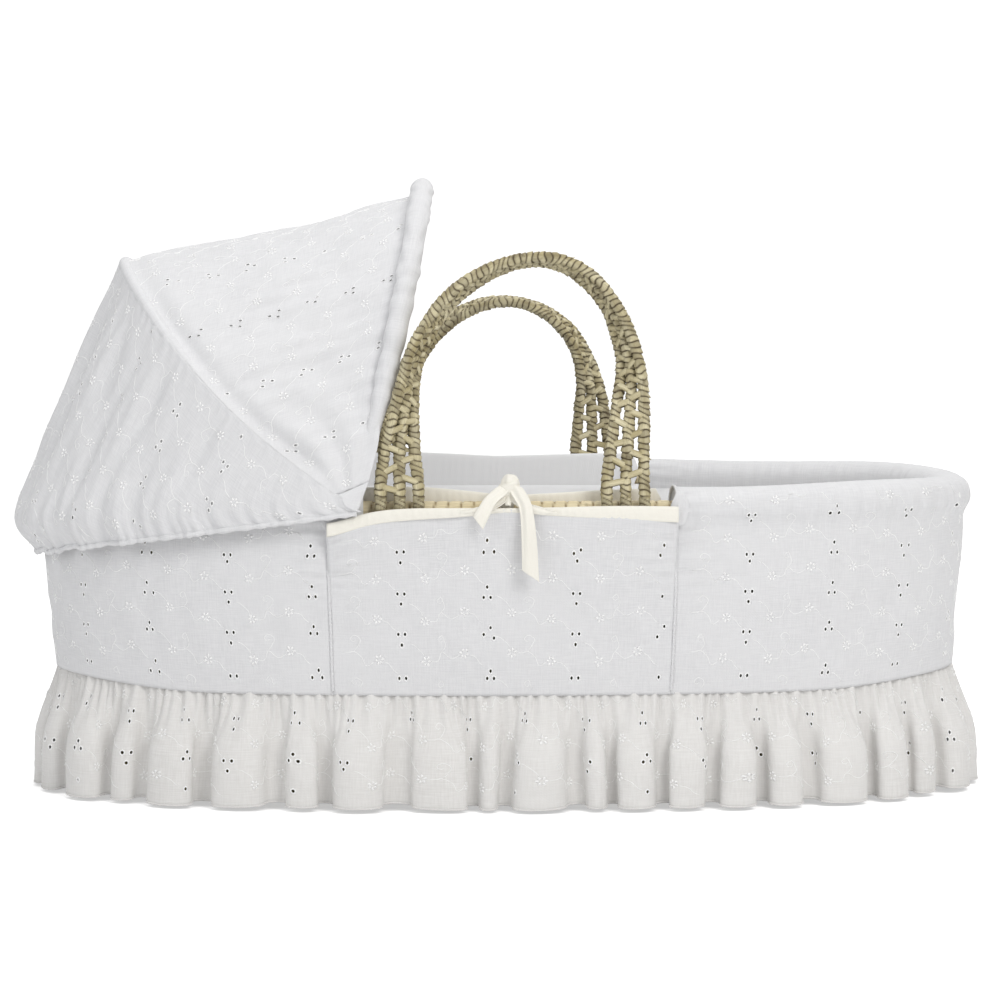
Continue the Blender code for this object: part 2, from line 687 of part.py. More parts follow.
def rear_edge(phi):
    """The line where the fabric lies over the rear hoop."""
    point = REAR.point(phi)
    high = smooth_ramp(REAR.rise_of(point), 0.02, 0.07)
    return outside_pins(point + REAR.outward(phi) * REAR_LIFT, high)


def head_line(line, share):
    """A point of HEM or BULGE; share runs from the -Y front corner round the head to +Y."""
    reach = abs(2 * share - 1)               # 1 at both front corners, 0 at the head
    front_theta = theta_at(line["front_x"], -1 if share < 0.5 else 1)
    z = line["head_z"] + (line["front_z"] - line["head_z"]) * reach ** line["z_power"]
    blend = smooth_ramp(reach, *line["off_blend"])
    off = line["head_off"] + (line["front_off"] - line["head_off"]) * blend
    return rim(pi + (front_theta - pi) * reach, off, z)


def build_front_panel(rear_edges, empty):
    grid = []
    for phi, rear in zip(FRONT.even_phis(FRONT_START, FAN), rear_edges):
        front = front_edge(phi)
        end = rear - (rear - front).normalized() * PANEL_GAP
        grid.append([front.lerp(end, k / FRONT_STEPS) for k in range(FRONT_STEPS + 1)])
    ride(thick_grid("hood_front_panel", grid, SHEET_T, COTTON), empty)


def build_rear_panel(rear_edges, empty):
    """From the rear hoop over the fullest line and down to the hem."""
    grid = []
    for i, top in enumerate(rear_edges):
        share = i / (FAN - 1)
        full, low = head_line(BULGE, share), head_line(HEM, share)
        drop = full - top
        above_full = full + Z_AXIS * min(drop.length * 0.25, 0.03)
        line = [bezier(top, top + drop * 0.35, above_full, full, k / REAR_STEPS)
                for k in range(REAR_STEPS + 1)]
        line[0] = line[0] + (line[1] - line[0]).normalized() * REAR_SETBACK
        grid.append(line + [full.lerp(low, 0.5), low])
    ride(thick_grid("hood_rear_panel", grid, SHEET_T, COTTON), empty)


def build_elastic():
    points = [head_line(HEM, ELASTIC_START + (1 - 2 * ELASTIC_START) * i / ELASTIC_STEPS)
              - Z_AXIS * ELASTIC_DROP for i in range(ELASTIC_STEPS + 1)]
    tube("hood_hem_elastic", points, [ELASTIC_R] * len(points), ELASTIC_SIDES, ELASTIC)


def build_hood():
    rear_hinge = hinge("hood_rear_hinge", PIVOT)
    front_hinge = hinge("hood_front_hinge", PIVOT)
    build_wire("hood_rear_wire", REAR, rear_hinge)
    build_wire("hood_front_wire", FRONT, front_hinge)
    build_sleeve(front_hinge)
    rear_edges = [rear_edge(phi) for phi in REAR.even_phis(REAR_START, FAN)]
    build_front_panel(rear_edges, front_hinge)
    build_rear_panel(rear_edges, rear_hinge)
    build_elastic()


# ---------------------------------------------------------------- clips that carry the hoops
COIL_Y = 0.1892                    # |Y| of the coil's centre line beside the pivots
CLIP_HALF_X = 0.009
# A saddle over the coil, as distance outwards from COIL_Y and z: first the face towards the
# coil, from the inner leg to the outer plate, then back along the other face
CLIP_PROFILE = [
    (-.0103, .2545), (-.0103, .2702), (-.0060, .2735), (.0060, .2735), (.0104, .2705),
    (.0104, .2545),
    (.0132, .2545), (.0132, .2720), (.0070, .2760), (-.0070, .2758), (-.0117, .2718),
    (-.0117, .2545)]
CLIP_HOLE_OFF, CLIP_HOLE_DEPTH = 0.0115, 0.008     # the hole's middle is measured from COIL_Y

PIN_R, PIN_HEAD_R, PIN_SIDES = 0.0019, 0.0032, 20
PIN_INNER_END, PIN_SHANK_END, PIN_HEAD_END = 0.2000, 0.2104, 0.2125    # |Y|
# |Y|, radius
PIN_PROFILE = [(PIN_INNER_END, PIN_R), (PIN_SHANK_END, PIN_R), (PIN_SHANK_END, PIN_HEAD_R),
               (PIN_HEAD_END - 0.0006, PIN_HEAD_R), (PIN_HEAD_END, PIN_HEAD_R - 0.0008)]


def build_bracket(label, side):
    rings = [[Vector((PIVOT.x + shift, side * (COIL_Y + off), z)) for off, z in CLIP_PROFILE]
             for shift in (-CLIP_HALF_X, 0.0, CLIP_HALF_X)]
    bracket = loft("hood_bracket_" + label, rings, CLIP,
                   caps=strip_caps(len(CLIP_PROFILE) // 2))
    centre = PIVOT + Y_AXIS * (side * (COIL_Y + CLIP_HOLE_OFF))
    hole = disc("clip_hole_" + label, centre, PIVOT_HOLE_R, CLIP_HOLE_DEPTH, CLIP)
    boolean(bracket, hole, "DIFFERENCE")


def build_pin(label, side):
    rings = [circle(PIVOT + Y_AXIS * (side * y), X_AXIS, Z_AXIS, radius, PIN_SIDES)
             for y, radius in PIN_PROFILE]
    loft("hood_pin_" + label, rings, WIRE)


# ---------------------------------------------------------------- build
build_basket()
build_mattress()
build_liner()
build_cover()
build_bindings()
build_frill()
build_handles()
build_ties()
build_hood()
for side_label, side_sign in SIDES:
    build_bracket(side_label, side_sign)
    build_pin(side_label, side_sign)
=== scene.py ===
"""Looks of the dressed Moses basket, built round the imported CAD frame.

Metres, +Z up, the base just above z = 0. The long axis is X: the head end with its hood
lies at -X and the foot end at +X. The left side is -Y and the right side +Y.
"""
import math
import bpy
import bmesh
import numpy as np
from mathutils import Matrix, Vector


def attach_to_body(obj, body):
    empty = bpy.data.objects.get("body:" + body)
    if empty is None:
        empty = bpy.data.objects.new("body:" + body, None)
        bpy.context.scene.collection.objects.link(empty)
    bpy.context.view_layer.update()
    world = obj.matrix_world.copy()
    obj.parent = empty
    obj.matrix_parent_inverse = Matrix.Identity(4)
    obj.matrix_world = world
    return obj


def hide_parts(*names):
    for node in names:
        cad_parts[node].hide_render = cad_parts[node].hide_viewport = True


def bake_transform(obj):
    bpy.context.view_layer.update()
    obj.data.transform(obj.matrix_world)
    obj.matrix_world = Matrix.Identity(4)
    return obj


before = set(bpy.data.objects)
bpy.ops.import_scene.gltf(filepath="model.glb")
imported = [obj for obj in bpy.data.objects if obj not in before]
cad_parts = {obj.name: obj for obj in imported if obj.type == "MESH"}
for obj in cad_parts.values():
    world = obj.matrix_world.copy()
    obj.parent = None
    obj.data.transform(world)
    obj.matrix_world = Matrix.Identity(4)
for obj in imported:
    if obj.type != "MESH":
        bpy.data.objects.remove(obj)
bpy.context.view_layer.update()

pi = math.pi

# ------------------------------------------------------------------ driving dimensions
# The plan is a superellipse whose half length and half width grow from base to rim.
PLAN_POWER, RIM_Z = 2.4, 0.260
RIM_HALF_X, RIM_HALF_Y = 0.405, 0.1955
BASE_HALF_X, BASE_HALF_Y = 0.378, 0.152
PANEL_TOP_OFF = 0.012            # how far outside the rim the dressed perimeter is measured
COIL_RADIUS, COIL_Z = 0.009, 0.2625
SLOT_HEAD_X, SLOT_FOOT_X = -0.158, 0.142
TIE_X = -0.004
RIGHT_DROP = 0.0085              # the right side's ribbon ends start this much lower
HINGE_Y, HINGE_Z = 0.2080, 0.276

# Hood hoops: half superellipses that swing about the pivot line
PIVOT = np.array([-0.138, 0.0, 0.268])
FRONT_HOOP = dict(angle=math.radians(12.8), height=0.2806, half=0.2045, bow=0.004)
REAR_HOOP = dict(angle=math.radians(-45.0), height=0.2936, half=0.2085, bow=-0.017)
HOOP_POWER = 2.2

CELL = 0.0030                    # grid cell of the cloth
CLOTH_THICK = 0.0006
CLOTH_PROBE = (0.0009, 0.0009)   # steps used to find a cloth surface's normals
HOOD_PROBE = (0.0012, 0.004)


# ------------------------------------------------------------------ small maths
def stack(*parts):
    """The parts, broadcast together, as entries of a new last axis."""
    return np.stack(np.broadcast_arrays(*parts), -1)


def unit(vectors):
    return vectors / np.maximum(np.linalg.norm(vectors, axis=-1, keepdims=True), 1e-12)


def signed_power(x, power):
    return np.sign(x) * np.abs(x) ** power


def smooth(x, start, end):
    """Ease from 0 at start to 1 at end."""
    share = np.clip((np.asarray(x, float) - start) / (end - start), 0.0, 1.0)
    return share * share * (3 - 2 * share)


def bump(x, centre, width):
    return np.exp(-((np.asarray(x, float) - centre) / width) ** 2)


def wave(x, length, shift=0.0):
    return np.sin(2 * pi * x / length + shift)


def phase(x, length, *swings):
    """Phase of a wave with an uneven pace; each swing is (radians, length) or with a start."""
    out = 2 * pi * x / length
    for amount, swing_length, *start in swings:
        out = out + amount * wave(x, swing_length, sum(start))
    return out


def distance_along(points):
    steps = np.linalg.norm(np.diff(points, axis=0), axis=1)
    return np.concatenate([[0], np.cumsum(steps)])


def sample_rows(rows, run, wanted):
    """Rows interpolated at the distances wanted, run being the rows' own distances."""
    return stack(*(np.interp(wanted, run, column) for column in rows.T))


def catmull_rom(rows, count=None):
    """A smooth curve through the rows, with count samples a span or one every 0.4 mm."""
    rows = np.array(rows, float)
    rows = np.vstack([2 * rows[0] - rows[1], rows, 2 * rows[-1] - rows[-2]])
    out = []
    for i in range(1, len(rows) - 2):
        before, start, end, after = rows[i - 1:i + 3]
        samples = count or max(2, int(np.linalg.norm(end - start) / 0.0004))
        t = np.arange(samples)[:, None] / samples
        out.append(0.5 * (2 * start + (end - before) * t
                          + (2 * before - 5 * start + 4 * end - after) * t ** 2
                          + (3 * start - before - 3 * end + after) * t ** 3))
    out.append(rows[-2:-1])
    return np.vstack(out)


def curve(points, step=0.0021):
    """A smooth line through 2-D points, sampled about every step."""
    fine = catmull_rom(points)
    run = distance_along(fine)
    count = max(3, int(run[-1] / step))
    return sample_rows(fine, run, np.linspace(0, run[-1], count + 1))


def spline(rows, count):
    """count rows spaced evenly along the first three columns of a smooth curve."""
    fine = catmull_rom(rows, 24)
    run = distance_along(fine[:, :3])
    return sample_rows(fine, run, np.linspace(0, run[-1], count))


def smooth_table(stations, values):
    line = curve(list(zip(stations, values)), step=0.002)
    return lambda x: np.interp(x, line[:, 0], line[:, 1])


def profile_of(points):
    """A profile through (offset, z) points: its function of arc length, and its length."""
    line = curve(points, step=0.0008)
    run = distance_along(line)
    length = float(run[-1])
    first = (line[1] - line[0]) / (run[1] - run[0])
    last = (line[-1] - line[-2]) / (run[-1] - run[-2])

    def at(up):
        up = np.asarray(up, float)
        below, above = np.minimum(up, 0.0), np.maximum(up - length, 0.0)
        return tuple(np.interp(up, run, line[:, k]) + below * first[k] + above * last[k]
                     for k in (0, 1))
    return at, length


def grid_axis(start, end, cell):
    return np.linspace(start, end, max(2, int(round((end - start) / cell))) + 1)


# ------------------------------------------------------------------ plan curve of the basket
def half_sizes(z):
    rise = np.clip(np.asarray(z, float) / RIM_Z, 0.0, 1.0)
    return (BASE_HALF_X + (RIM_HALF_X - BASE_HALF_X) * (1 - (1 - rise) ** 2),
            BASE_HALF_Y + (RIM_HALF_Y - BASE_HALF_Y) * (1 - (1 - rise) ** 1.6))


def plan(theta, z, off, z_out=None):
    """Points off metres outside the wall's outline at height z, put at height z_out if given."""
    theta = np.asarray(theta, float)
    half_x, half_y = half_sizes(z)
    x = half_x * signed_power(np.cos(theta), 2 / PLAN_POWER)
    y = half_y * signed_power(np.sin(theta), 2 / PLAN_POWER)
    normal_x = signed_power(x / half_x, PLAN_POWER - 1) / half_x
    normal_y = signed_power(y / half_y, PLAN_POWER - 1) / half_y
    length = np.hypot(normal_x, normal_y)
    return stack(x + off * normal_x / length, y + off * normal_y / length,
                 z if z_out is None else z_out)


RIM_THETAS = np.linspace(0, 2 * pi, 8001)
RIM_RUN = distance_along(plan(RIM_THETAS, RIM_Z, PANEL_TOP_OFF))
PERIMETER = float(RIM_RUN[-1])


def theta_of(around):
    """Parameter at a distance round the dressed rim from the foot end's middle."""
    around = np.asarray(around, float)
    turns = np.floor(around / PERIMETER)
    return np.interp(around - turns * PERIMETER, RIM_RUN, RIM_THETAS) + 2 * pi * turns


def theta_at(x, side):
    theta = math.acos(math.copysign((abs(x) / RIM_HALF_X) ** (PLAN_POWER / 2), x))
    return theta if side > 0 else 2 * pi - theta


def around_at(x, side):
    return float(np.interp(theta_at(x, side), RIM_THETAS, RIM_RUN))


def x_at(around):
    return plan(theta_of(around), RIM_Z, 0.0)[..., 0]


def rim_y(x):
    return RIM_HALF_Y * (1 - (np.abs(x) / RIM_HALF_X) ** PLAN_POWER) ** (1 / PLAN_POWER)


# Each panel of the cover as its (start, end) distances round the rim
HEAD = (around_at(SLOT_HEAD_X, 1), around_at(SLOT_HEAD_X, -1))
LEFT = (HEAD[1], around_at(SLOT_FOOT_X, -1))
FOOT = (LEFT[1], around_at(SLOT_FOOT_X, 1) + PERIMETER)
RIGHT = (around_at(SLOT_FOOT_X, 1), HEAD[0])
# name, sign of y, panel, panel's head seam, panel's foot seam
SIDES = (("left", -1, LEFT, LEFT[0], LEFT[1]), ("right", 1, RIGHT, RIGHT[1], RIGHT[0]))


# ------------------------------------------------------------------ repeatable noise
def wave_field(seed, lengths, count=6, stretch=(1.0, 1.0), period=None):
    """A smooth 2-D field of summed sine waves; wave lengths in metres."""
    rng = np.random.default_rng(seed)
    waves = []
    for length in lengths:
        for _ in range(count):
            angle = rng.uniform(0, 2 * pi)
            factor = rng.uniform(0.75, 1.3)
            pace_x = math.cos(angle) / (length * factor) / stretch[0]
            pace_y = math.sin(angle) / (length * factor) / stretch[1]
            if period:
                pace_x = round(pace_x * period) / period
            waves.append((pace_x, pace_y, rng.uniform(0, 2 * pi)))
    share = 1.0 / math.sqrt(count)

    def field(x, y):
        out = 0
        for pace_x, pace_y, start in waves:
            out = out + share * np.sin(2 * pi * (pace_x * x + pace_y * y) + start)
        return out
    return field


def smooth_random(seed, step, amount, period):
    """A smooth random function with knots every step metres, repeating after period."""
    knots = np.random.default_rng(seed).uniform(-1, 1, 4096)
    count = int(round(period / step))

    def value(x):
        place = np.asarray(x, float) / step
        i = np.floor(place).astype(int)
        share = place - i
        share = share * share * (3 - 2 * share)
        return amount * (knots[i % count] * (1 - share) + knots[(i + 1) % count] * share)
    return value


# ------------------------------------------------------------------ materials
class Nodes:
    """The shader nodes of a material or a world."""

    def __init__(self, owner):
        owner.use_nodes = True
        self.owner, self.tree = owner, owner.node_tree

    def put(self, socket, value):
        if isinstance(value, bpy.types.NodeSocket):
            self.tree.links.new(value, socket)
        else:
            socket.default_value = value

    def add(self, kind, **inputs):
        node = self.tree.nodes.new("ShaderNode" + kind)
        for key, value in inputs.items():
            self.put(node.inputs[key], value)
        return node

    def fabric(self):
        node = self.add("UVMap")
        node.uv_map = "fabric"
        return node.outputs["UV"]

    def place(self):
        return self.add("TexCoord").outputs["Object"]

    def noise(self, vector, scale, detail, roughness):
        return self.add("TexNoise", Scale=scale, Detail=detail, Roughness=roughness,
                        Vector=vector).outputs["Fac"]

    def stretched_noise(self, vector, stretch, detail, roughness, turn=0.0):
        mapping = self.add("Mapping", Scale=(*stretch, 1.0), Rotation=(0, 0, turn),
                           Vector=vector)
        return self.noise(mapping.outputs[0], scale=1.0, detail=detail, roughness=roughness)

    def math(self, operation, *values):
        node = self.add("Math")
        node.operation = operation
        for i, value in enumerate(values):
            self.put(node.inputs[i], value)
        return node.outputs[0]

    def mix(self, first, second, factor):
        """Mix two colours, each a socket or an (r, g, b)."""
        node = self.add("Mix")
        node.data_type = "RGBA"
        for i, value in ((6, first), (7, second), (0, factor)):
            self.put(node.inputs[i], (*value, 1.0) if isinstance(value, tuple) else value)
        return node.outputs[2]

    def ramp(self, factor, *stops):
        """Each stop is a position with an (r, g, b) or a grey level."""
        node = self.add("ValToRGB", Fac=factor)
        elements = node.color_ramp.elements
        elements.remove(elements[-1])
        for i, (position, colour) in enumerate(stops):
            element = elements.new(position) if i else elements[0]
            element.position = position
            element.color = (*(colour if isinstance(colour, tuple) else (colour,) * 3), 1.0)
        return node.outputs["Color"]

    def bump(self, height, strength, distance):
        return self.add("Bump", Strength=strength, Distance=distance,
                        Height=height).outputs[0]

    def fill(self, values, node="Principled BSDF"):
        """Set inputs of the surface node, and hand back the material or world."""
        for key, value in values.items():
            self.put(self.tree.nodes[node].inputs[key], value)
        return self.owner


def new_material(name):
    return Nodes(bpy.data.materials.new(name))


def dimmed(colour, factor):
    return tuple(channel * factor for channel in colour)


def cotton(name, base, shade, weave=2600.0, slub=0.5, sheen=0.25, rough=0.88):
    """Plain-woven cotton: crossed threads, slubs along both thread ways and a soft mottle."""
    nodes = new_material(name)
    fabric = nodes.fabric()
    axes = nodes.add("SeparateXYZ", Vector=fabric).outputs
    ribs = [nodes.math("SINE", nodes.math("MULTIPLY", axes[i], weave)) for i in (0, 1)]
    threads = nodes.math("MULTIPLY", *ribs)
    slubs = [nodes.stretched_noise(fabric, stretch=stretch, detail=2.0, roughness=0.6)
             for stretch in ((60.0, 900.0), (900.0, 60.0))]
    slubs = nodes.math("MULTIPLY", nodes.math("ADD", *slubs), 0.5)
    mottle = nodes.noise(nodes.place(), scale=9.0, detail=3.0, roughness=0.55)
    colour = nodes.mix(base, shade, nodes.ramp(slubs, (0.36, 0.0), (0.66, slub)))
    colour = nodes.mix(colour, dimmed(base, 0.965), nodes.ramp(mottle, (0.35, 0.0), (0.7, 0.55)))
    slub_rough, thread_height, slub_height = 0.12, 0.25, 1.4
    roughness = nodes.math("ADD", nodes.math("MULTIPLY", slubs, slub_rough),
                           rough - slub_rough / 2)
    height = nodes.math("ADD", nodes.math("MULTIPLY", threads, thread_height),
                        nodes.math("MULTIPLY", slubs, slub_height))
    return nodes.fill({
        "Base Color": colour, "Roughness": roughness,
        "Normal": nodes.bump(height, strength=0.25, distance=0.0004),
        "Sheen Weight": sheen, "Sheen Roughness": 0.5, "Specular IOR Level": 0.25})


def thread(name, base):
    """Satin-stitched cotton thread with a soft sheen."""
    nodes = new_material(name)
    grain = nodes.noise(nodes.place(), scale=1400.0, detail=2.0, roughness=0.6)
    return nodes.fill({
        "Base Color": nodes.mix(base, dimmed(base, 0.93), grain),
        "Normal": nodes.bump(grain, strength=0.3, distance=0.0002),
        "Roughness": 0.55, "Sheen Weight": 0.4})


def leaf(name, light, mid, dark, scale=1.0):
    """Dried leaf: long fibres, strips of differing tone and darker streaks, and painted shade from the
    mesh's shade attribute.
    """
    nodes = new_material(name)
    fabric = nodes.fabric()
    strip = nodes.stretched_noise(fabric, stretch=(130.0 * scale, 26.0 * scale),
                                  detail=1.0, roughness=0.5)
    fibre = nodes.stretched_noise(fabric, stretch=(2600.0 * scale, 90.0 * scale),
                                  detail=3.0, roughness=0.7, turn=0.25)
    blot = nodes.noise(nodes.place(), scale=70.0, detail=3.0, roughness=0.65)
    halfway = tuple(0.5 * (pale + deep) for pale, deep in zip(light, mid))
    colour = nodes.ramp(strip, (0.30, mid), (0.48, halfway), (0.66, light))
    colour = nodes.mix(colour, dimmed(mid, 0.66), nodes.ramp(fibre, (0.44, 0.0), (0.74, 0.75)))
    colour = nodes.mix(colour, dark, nodes.ramp(blot, (0.60, 0.0), (0.76, 0.7)))
    # painted shade: where the shade attribute is below 1 the colour goes towards a dimmed dark
    # (grooves, strip edges, gaps between strands); in leaf wraps it also holds a random tone for each
    # strip
    shade = nodes.add("Attribute")
    shade.attribute_name = "shade"
    colour = nodes.mix(dimmed(dark, 0.9), colour, shade.outputs["Fac"])
    return nodes.fill({
        "Base Color": colour,
        "Roughness": nodes.ramp(fibre, (0.3, 0.62 - 0.12), (0.7, 0.62 + 0.14)),
        "Normal": nodes.bump(fibre, strength=0.55, distance=0.0006),
        "Specular IOR Level": 0.35})


def hard(name, base, rough, metallic, speck):
    """Moulded plastic or plated metal, with fine surface variation."""
    nodes = new_material(name)
    place = nodes.place()
    fine = nodes.noise(place, scale=320.0, detail=3.0, roughness=0.6)
    broad = nodes.noise(place, scale=320.0 * 0.12, detail=2.0, roughness=0.5)
    return nodes.fill({
        "Base Color": nodes.mix(base, dimmed(base, 1 - 2 * speck), broad),
        "Roughness": nodes.ramp(fine, (0.3, rough - 0.07), (0.7, rough + 0.09)),
        "Normal": nodes.bump(fine, strength=0.25, distance=0.0001),
        "Metallic": metallic})


COTTON = cotton("embroidered_cotton", base=(0.765, 0.765, 0.775), shade=(0.65, 0.65, 0.665),
                slub=0.9)
FRILL = cotton("frill_cotton", base=(0.79, 0.78, 0.765), shade=(0.68, 0.665, 0.645), slub=0.9)
LINING = cotton("lining_cotton", base=(0.90, 0.90, 0.905), shade=(0.84, 0.84, 0.85), slub=0.35)
TICKING = cotton("mattress_cotton", base=(0.84, 0.84, 0.835), shade=(0.79, 0.79, 0.785),
                 weave=3400.0, slub=0.3)
RIBBON = cotton("cream_ribbon", base=(0.89, 0.865, 0.79), shade=(0.84, 0.81, 0.73),
                weave=3000.0, slub=0.45, sheen=0.35, rough=0.75)
THREAD = thread("white_thread", base=(0.97, 0.97, 0.965))
PALM = leaf("palm_leaf", light=(0.80, 0.73, 0.50), mid=(0.48, 0.41, 0.225),
            dark=(0.08, 0.055, 0.028))
STRAW = leaf("pale_straw", light=(0.90, 0.80, 0.56), mid=(0.76, 0.64, 0.40),
             dark=(0.22, 0.14, 0.05), scale=0.8)
WOVEN = leaf("woven_wall", light=(0.66, 0.54, 0.29), mid=(0.45, 0.35, 0.16),
             dark=(0.16, 0.10, 0.04), scale=0.6)
STEEL = hard("plated_wire", base=(0.62, 0.62, 0.64), rough=0.30, metallic=1.0, speck=0.06)
PLASTIC = hard("white_plastic", base=(0.84, 0.84, 0.83), rough=0.42, metallic=0.0, speck=0.02)


# ------------------------------------------------------------------ mesh assembly
class Surface:
    """A curved surface: point(across, up) in space. v_length(across) is the metres of cloth
    in one unit of up; probe holds the steps that its normals are found with."""

    def __init__(self, point, probe=CLOTH_PROBE, v_length=lambda across: 1.0):
        self.point, self.probe, self.v_length = point, probe, v_length

    def normals(self, across, up):
        step_across, step_up = self.probe
        return unit(np.cross(
            self.point(across + step_across, up) - self.point(across - step_across, up),
            self.point(across, up + step_up) - self.point(across, up - step_up)))

    def place(self, across, up, height):
        """Points lifted by height along the normal."""
        return (self.point(across, up)
                + self.normals(across, up) * np.asarray(height, float)[..., None])

    def cloth(self, across, up):
        return stack(across, up * self.v_length(across))


def grid_faces(ids, close_rows=False, close_columns=False):
    """Quads over a grid of vertex numbers."""
    if close_rows:
        ids = np.vstack([ids, ids[:1]])
    if close_columns:
        ids = np.hstack([ids, ids[:, :1]])
    return stack(ids[:-1, :-1], ids[1:, :-1], ids[1:, 1:], ids[:-1, 1:]).reshape(-1, 4)


FLIP = [0, 3, 2, 1]              # column order that turns quads over


class Build:
    """Collects the vertices and faces of one mesh, with cloth coordinates and a shade value for the
    leaf materials (painted shade, with a random tone in leaf wraps; 1 for none).
    """

    def __init__(self, surface=None):
        self.surface = surface
        self.points, self.cloth, self.shade, self.late = [], [], [], []
        self.count = 0
        self.quad_list, self.quad_slots = [np.zeros((0, 4), int)], [np.zeros(0, int)]
        self.tri_list, self.tri_slots = [np.zeros((0, 3), int)], [np.zeros(0, int)]

    def add(self, points, cloth, shade=1.0):
        """Add points and return their vertex numbers in the same arrangement."""
        points = np.asarray(points, float)
        arrangement = points.shape[:-1]
        points = points.reshape(-1, 3)
        self.points.append(points)
        self.cloth.append(np.asarray(cloth, float).reshape(-1, 2))
        self.shade.append(np.broadcast_to(shade, arrangement).ravel())
        self.count += len(points)
        return np.arange(self.count - len(points), self.count).reshape(arrangement)

    def later(self, across, up, height):
        """Reserve lifted points of the surface; make works them all out together."""
        spots = np.stack(np.broadcast_arrays(across, up, height))
        self.late.append((len(self.points), spots))
        count = spots.shape[1]
        return self.add(np.zeros((count, 3)), np.zeros((count, 2)))

    def work_out_late(self):
        if not self.late:
            return
        numbers, spots = zip(*self.late)
        across, up, height = np.hstack(spots)
        cuts = np.cumsum([part.shape[1] for part in spots])[:-1]
        points = np.split(self.surface.place(across, up, height), cuts)
        cloth = np.split(self.surface.cloth(across, up), cuts)
        for i, part, fabric in zip(numbers, points, cloth):
            self.points[i], self.cloth[i] = part, fabric

    def quads(self, faces, slot=0):
        faces = np.asarray(faces).reshape(-1, 4)
        self.quad_list.append(faces)
        self.quad_slots.append(np.broadcast_to(slot, len(faces)))

    def tris(self, faces, slot=0):
        faces = np.asarray(faces).reshape(-1, 3)
        self.tri_list.append(faces)
        self.tri_slots.append(np.broadcast_to(slot, len(faces)))

    def band(self, first, second, slot=0):
        """Quads between two open rows of vertices."""
        self.quads(stack(first[:-1], first[1:], second[1:], second[:-1]), slot)

    def fan(self, ring, centre, flip=False):
        """Triangles from a closed ring to a centre."""
        following = np.roll(ring, -1)
        pair = (following, ring) if flip else (ring, following)
        self.tris(stack(*pair, centre))

    def skin(self, top, low, wrap=False, alive=None):
        """Close two parallel grids into a sheet, leaving out the cells that are not alive."""
        if wrap:
            top, low = (np.vstack([ids, ids[:1]]) for ids in (top, low))
        keep = slice(None) if alive is None else alive.ravel()
        self.quads(grid_faces(top)[keep])
        self.quads(grid_faces(low)[keep][:, ::-1])

        def edges(ids):
            ends = [] if wrap else [ids[-1], ids[0, ::-1]]
            return [ids[:, 0], ids[::-1, -1]] + ends
        for low_edge, top_edge in zip(edges(low), edges(top)):
            self.band(low_edge, top_edge)

    def make(self, name, materials):
        self.work_out_late()
        points, cloth, shade, quads, quad_slots, tris, tri_slots = (
            np.concatenate(parts) for parts in (
                self.points, self.cloth, self.shade, self.quad_list, self.quad_slots,
                self.tri_list, self.tri_slots))
        used, corners = np.unique(np.concatenate([quads.ravel(), tris.ravel()]),
                                  return_inverse=True)
        mesh = bpy.data.meshes.new(name)
        mesh.vertices.add(len(used))
        mesh.vertices.foreach_set("co", points[used].astype(np.float32).ravel())
        mesh.loops.add(len(corners))
        mesh.loops.foreach_set("vertex_index", corners.ravel().astype(np.int32))
        starts = np.concatenate([np.arange(len(quads)) * 4,
                                 len(quads) * 4 + np.arange(len(tris)) * 3]).astype(np.int32)
        mesh.polygons.add(len(starts))
        mesh.polygons.foreach_set("loop_start", starts)
        slots = np.concatenate([quad_slots, tri_slots]).astype(np.int32)
        mesh.polygons.foreach_set("material_index", slots)
        mesh.update(calc_edges=True)
        mesh.validate(verbose=False)
        set_fabric(mesh, cloth[used])
        # the shade attribute: painted shade and random tone, read by the leaf materials
        painted_shade_and_tone = mesh.attributes.new("shade", "FLOAT", "POINT")
        painted_shade_and_tone.data.foreach_set("value", shade[used].astype(np.float32))
        for material in materials:
            mesh.materials.append(material)
        mesh.shade_smooth()
        return new_object(name, mesh)


def set_fabric(mesh, cloth):
    """Give the mesh its fabric coordinates, one pair a vertex."""
    layer = mesh.uv_layers.new(name="fabric")
    corners = np.zeros(len(mesh.loops), np.int32)
    mesh.loops.foreach_get("vertex_index", corners)
    layer.data.foreach_set("uv", cloth[corners].astype(np.float32).ravel())


def new_object(name, data):
    thing = bpy.data.objects.new(name, data)
    bpy.context.scene.collection.objects.link(thing)
    return thing


def coords(thing):
    out = np.empty(len(thing.data.vertices) * 3, np.float32)
    thing.data.vertices.foreach_get("co", out)
    return out.reshape(-1, 3).astype(float)


def face_outwards(thing, merge=False):
    """Recalculate the normals, first merging doubled vertices if asked."""
    mesh = bmesh.new()
    mesh.from_mesh(thing.data)
    if merge:
        bmesh.ops.remove_doubles(mesh, verts=mesh.verts, dist=1e-6)
    bmesh.ops.recalc_face_normals(mesh, faces=mesh.faces)
    mesh.to_mesh(thing.data)
    mesh.free()
    thing.data.shade_smooth()


def attach(thing, slot, *nodes, body="basket"):
    """Let a piece ride on a body, in place of the CAD nodes given."""
    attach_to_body(thing, body)
    if nodes:
        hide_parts(*nodes)


def attach_between(thing, slot, bodies, start, end, weights, node=None):
    """Hide the CAD node, if one is given, bake the piece's placement into its mesh and work out a
    weight for each vertex, which is then left unused.
    """
    if node:
        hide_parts(node)
    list(bodies)
    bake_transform(thing)
    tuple(start)
    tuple(end)
    values = weights(coords(thing)).astype(np.float32)


# ------------------------------------------------------------------ sheets with eyelets
EYELET_RADII = (0.00105, 0.00155)
EYELET_RIDGE = 0.00045           # height of the stitched ring


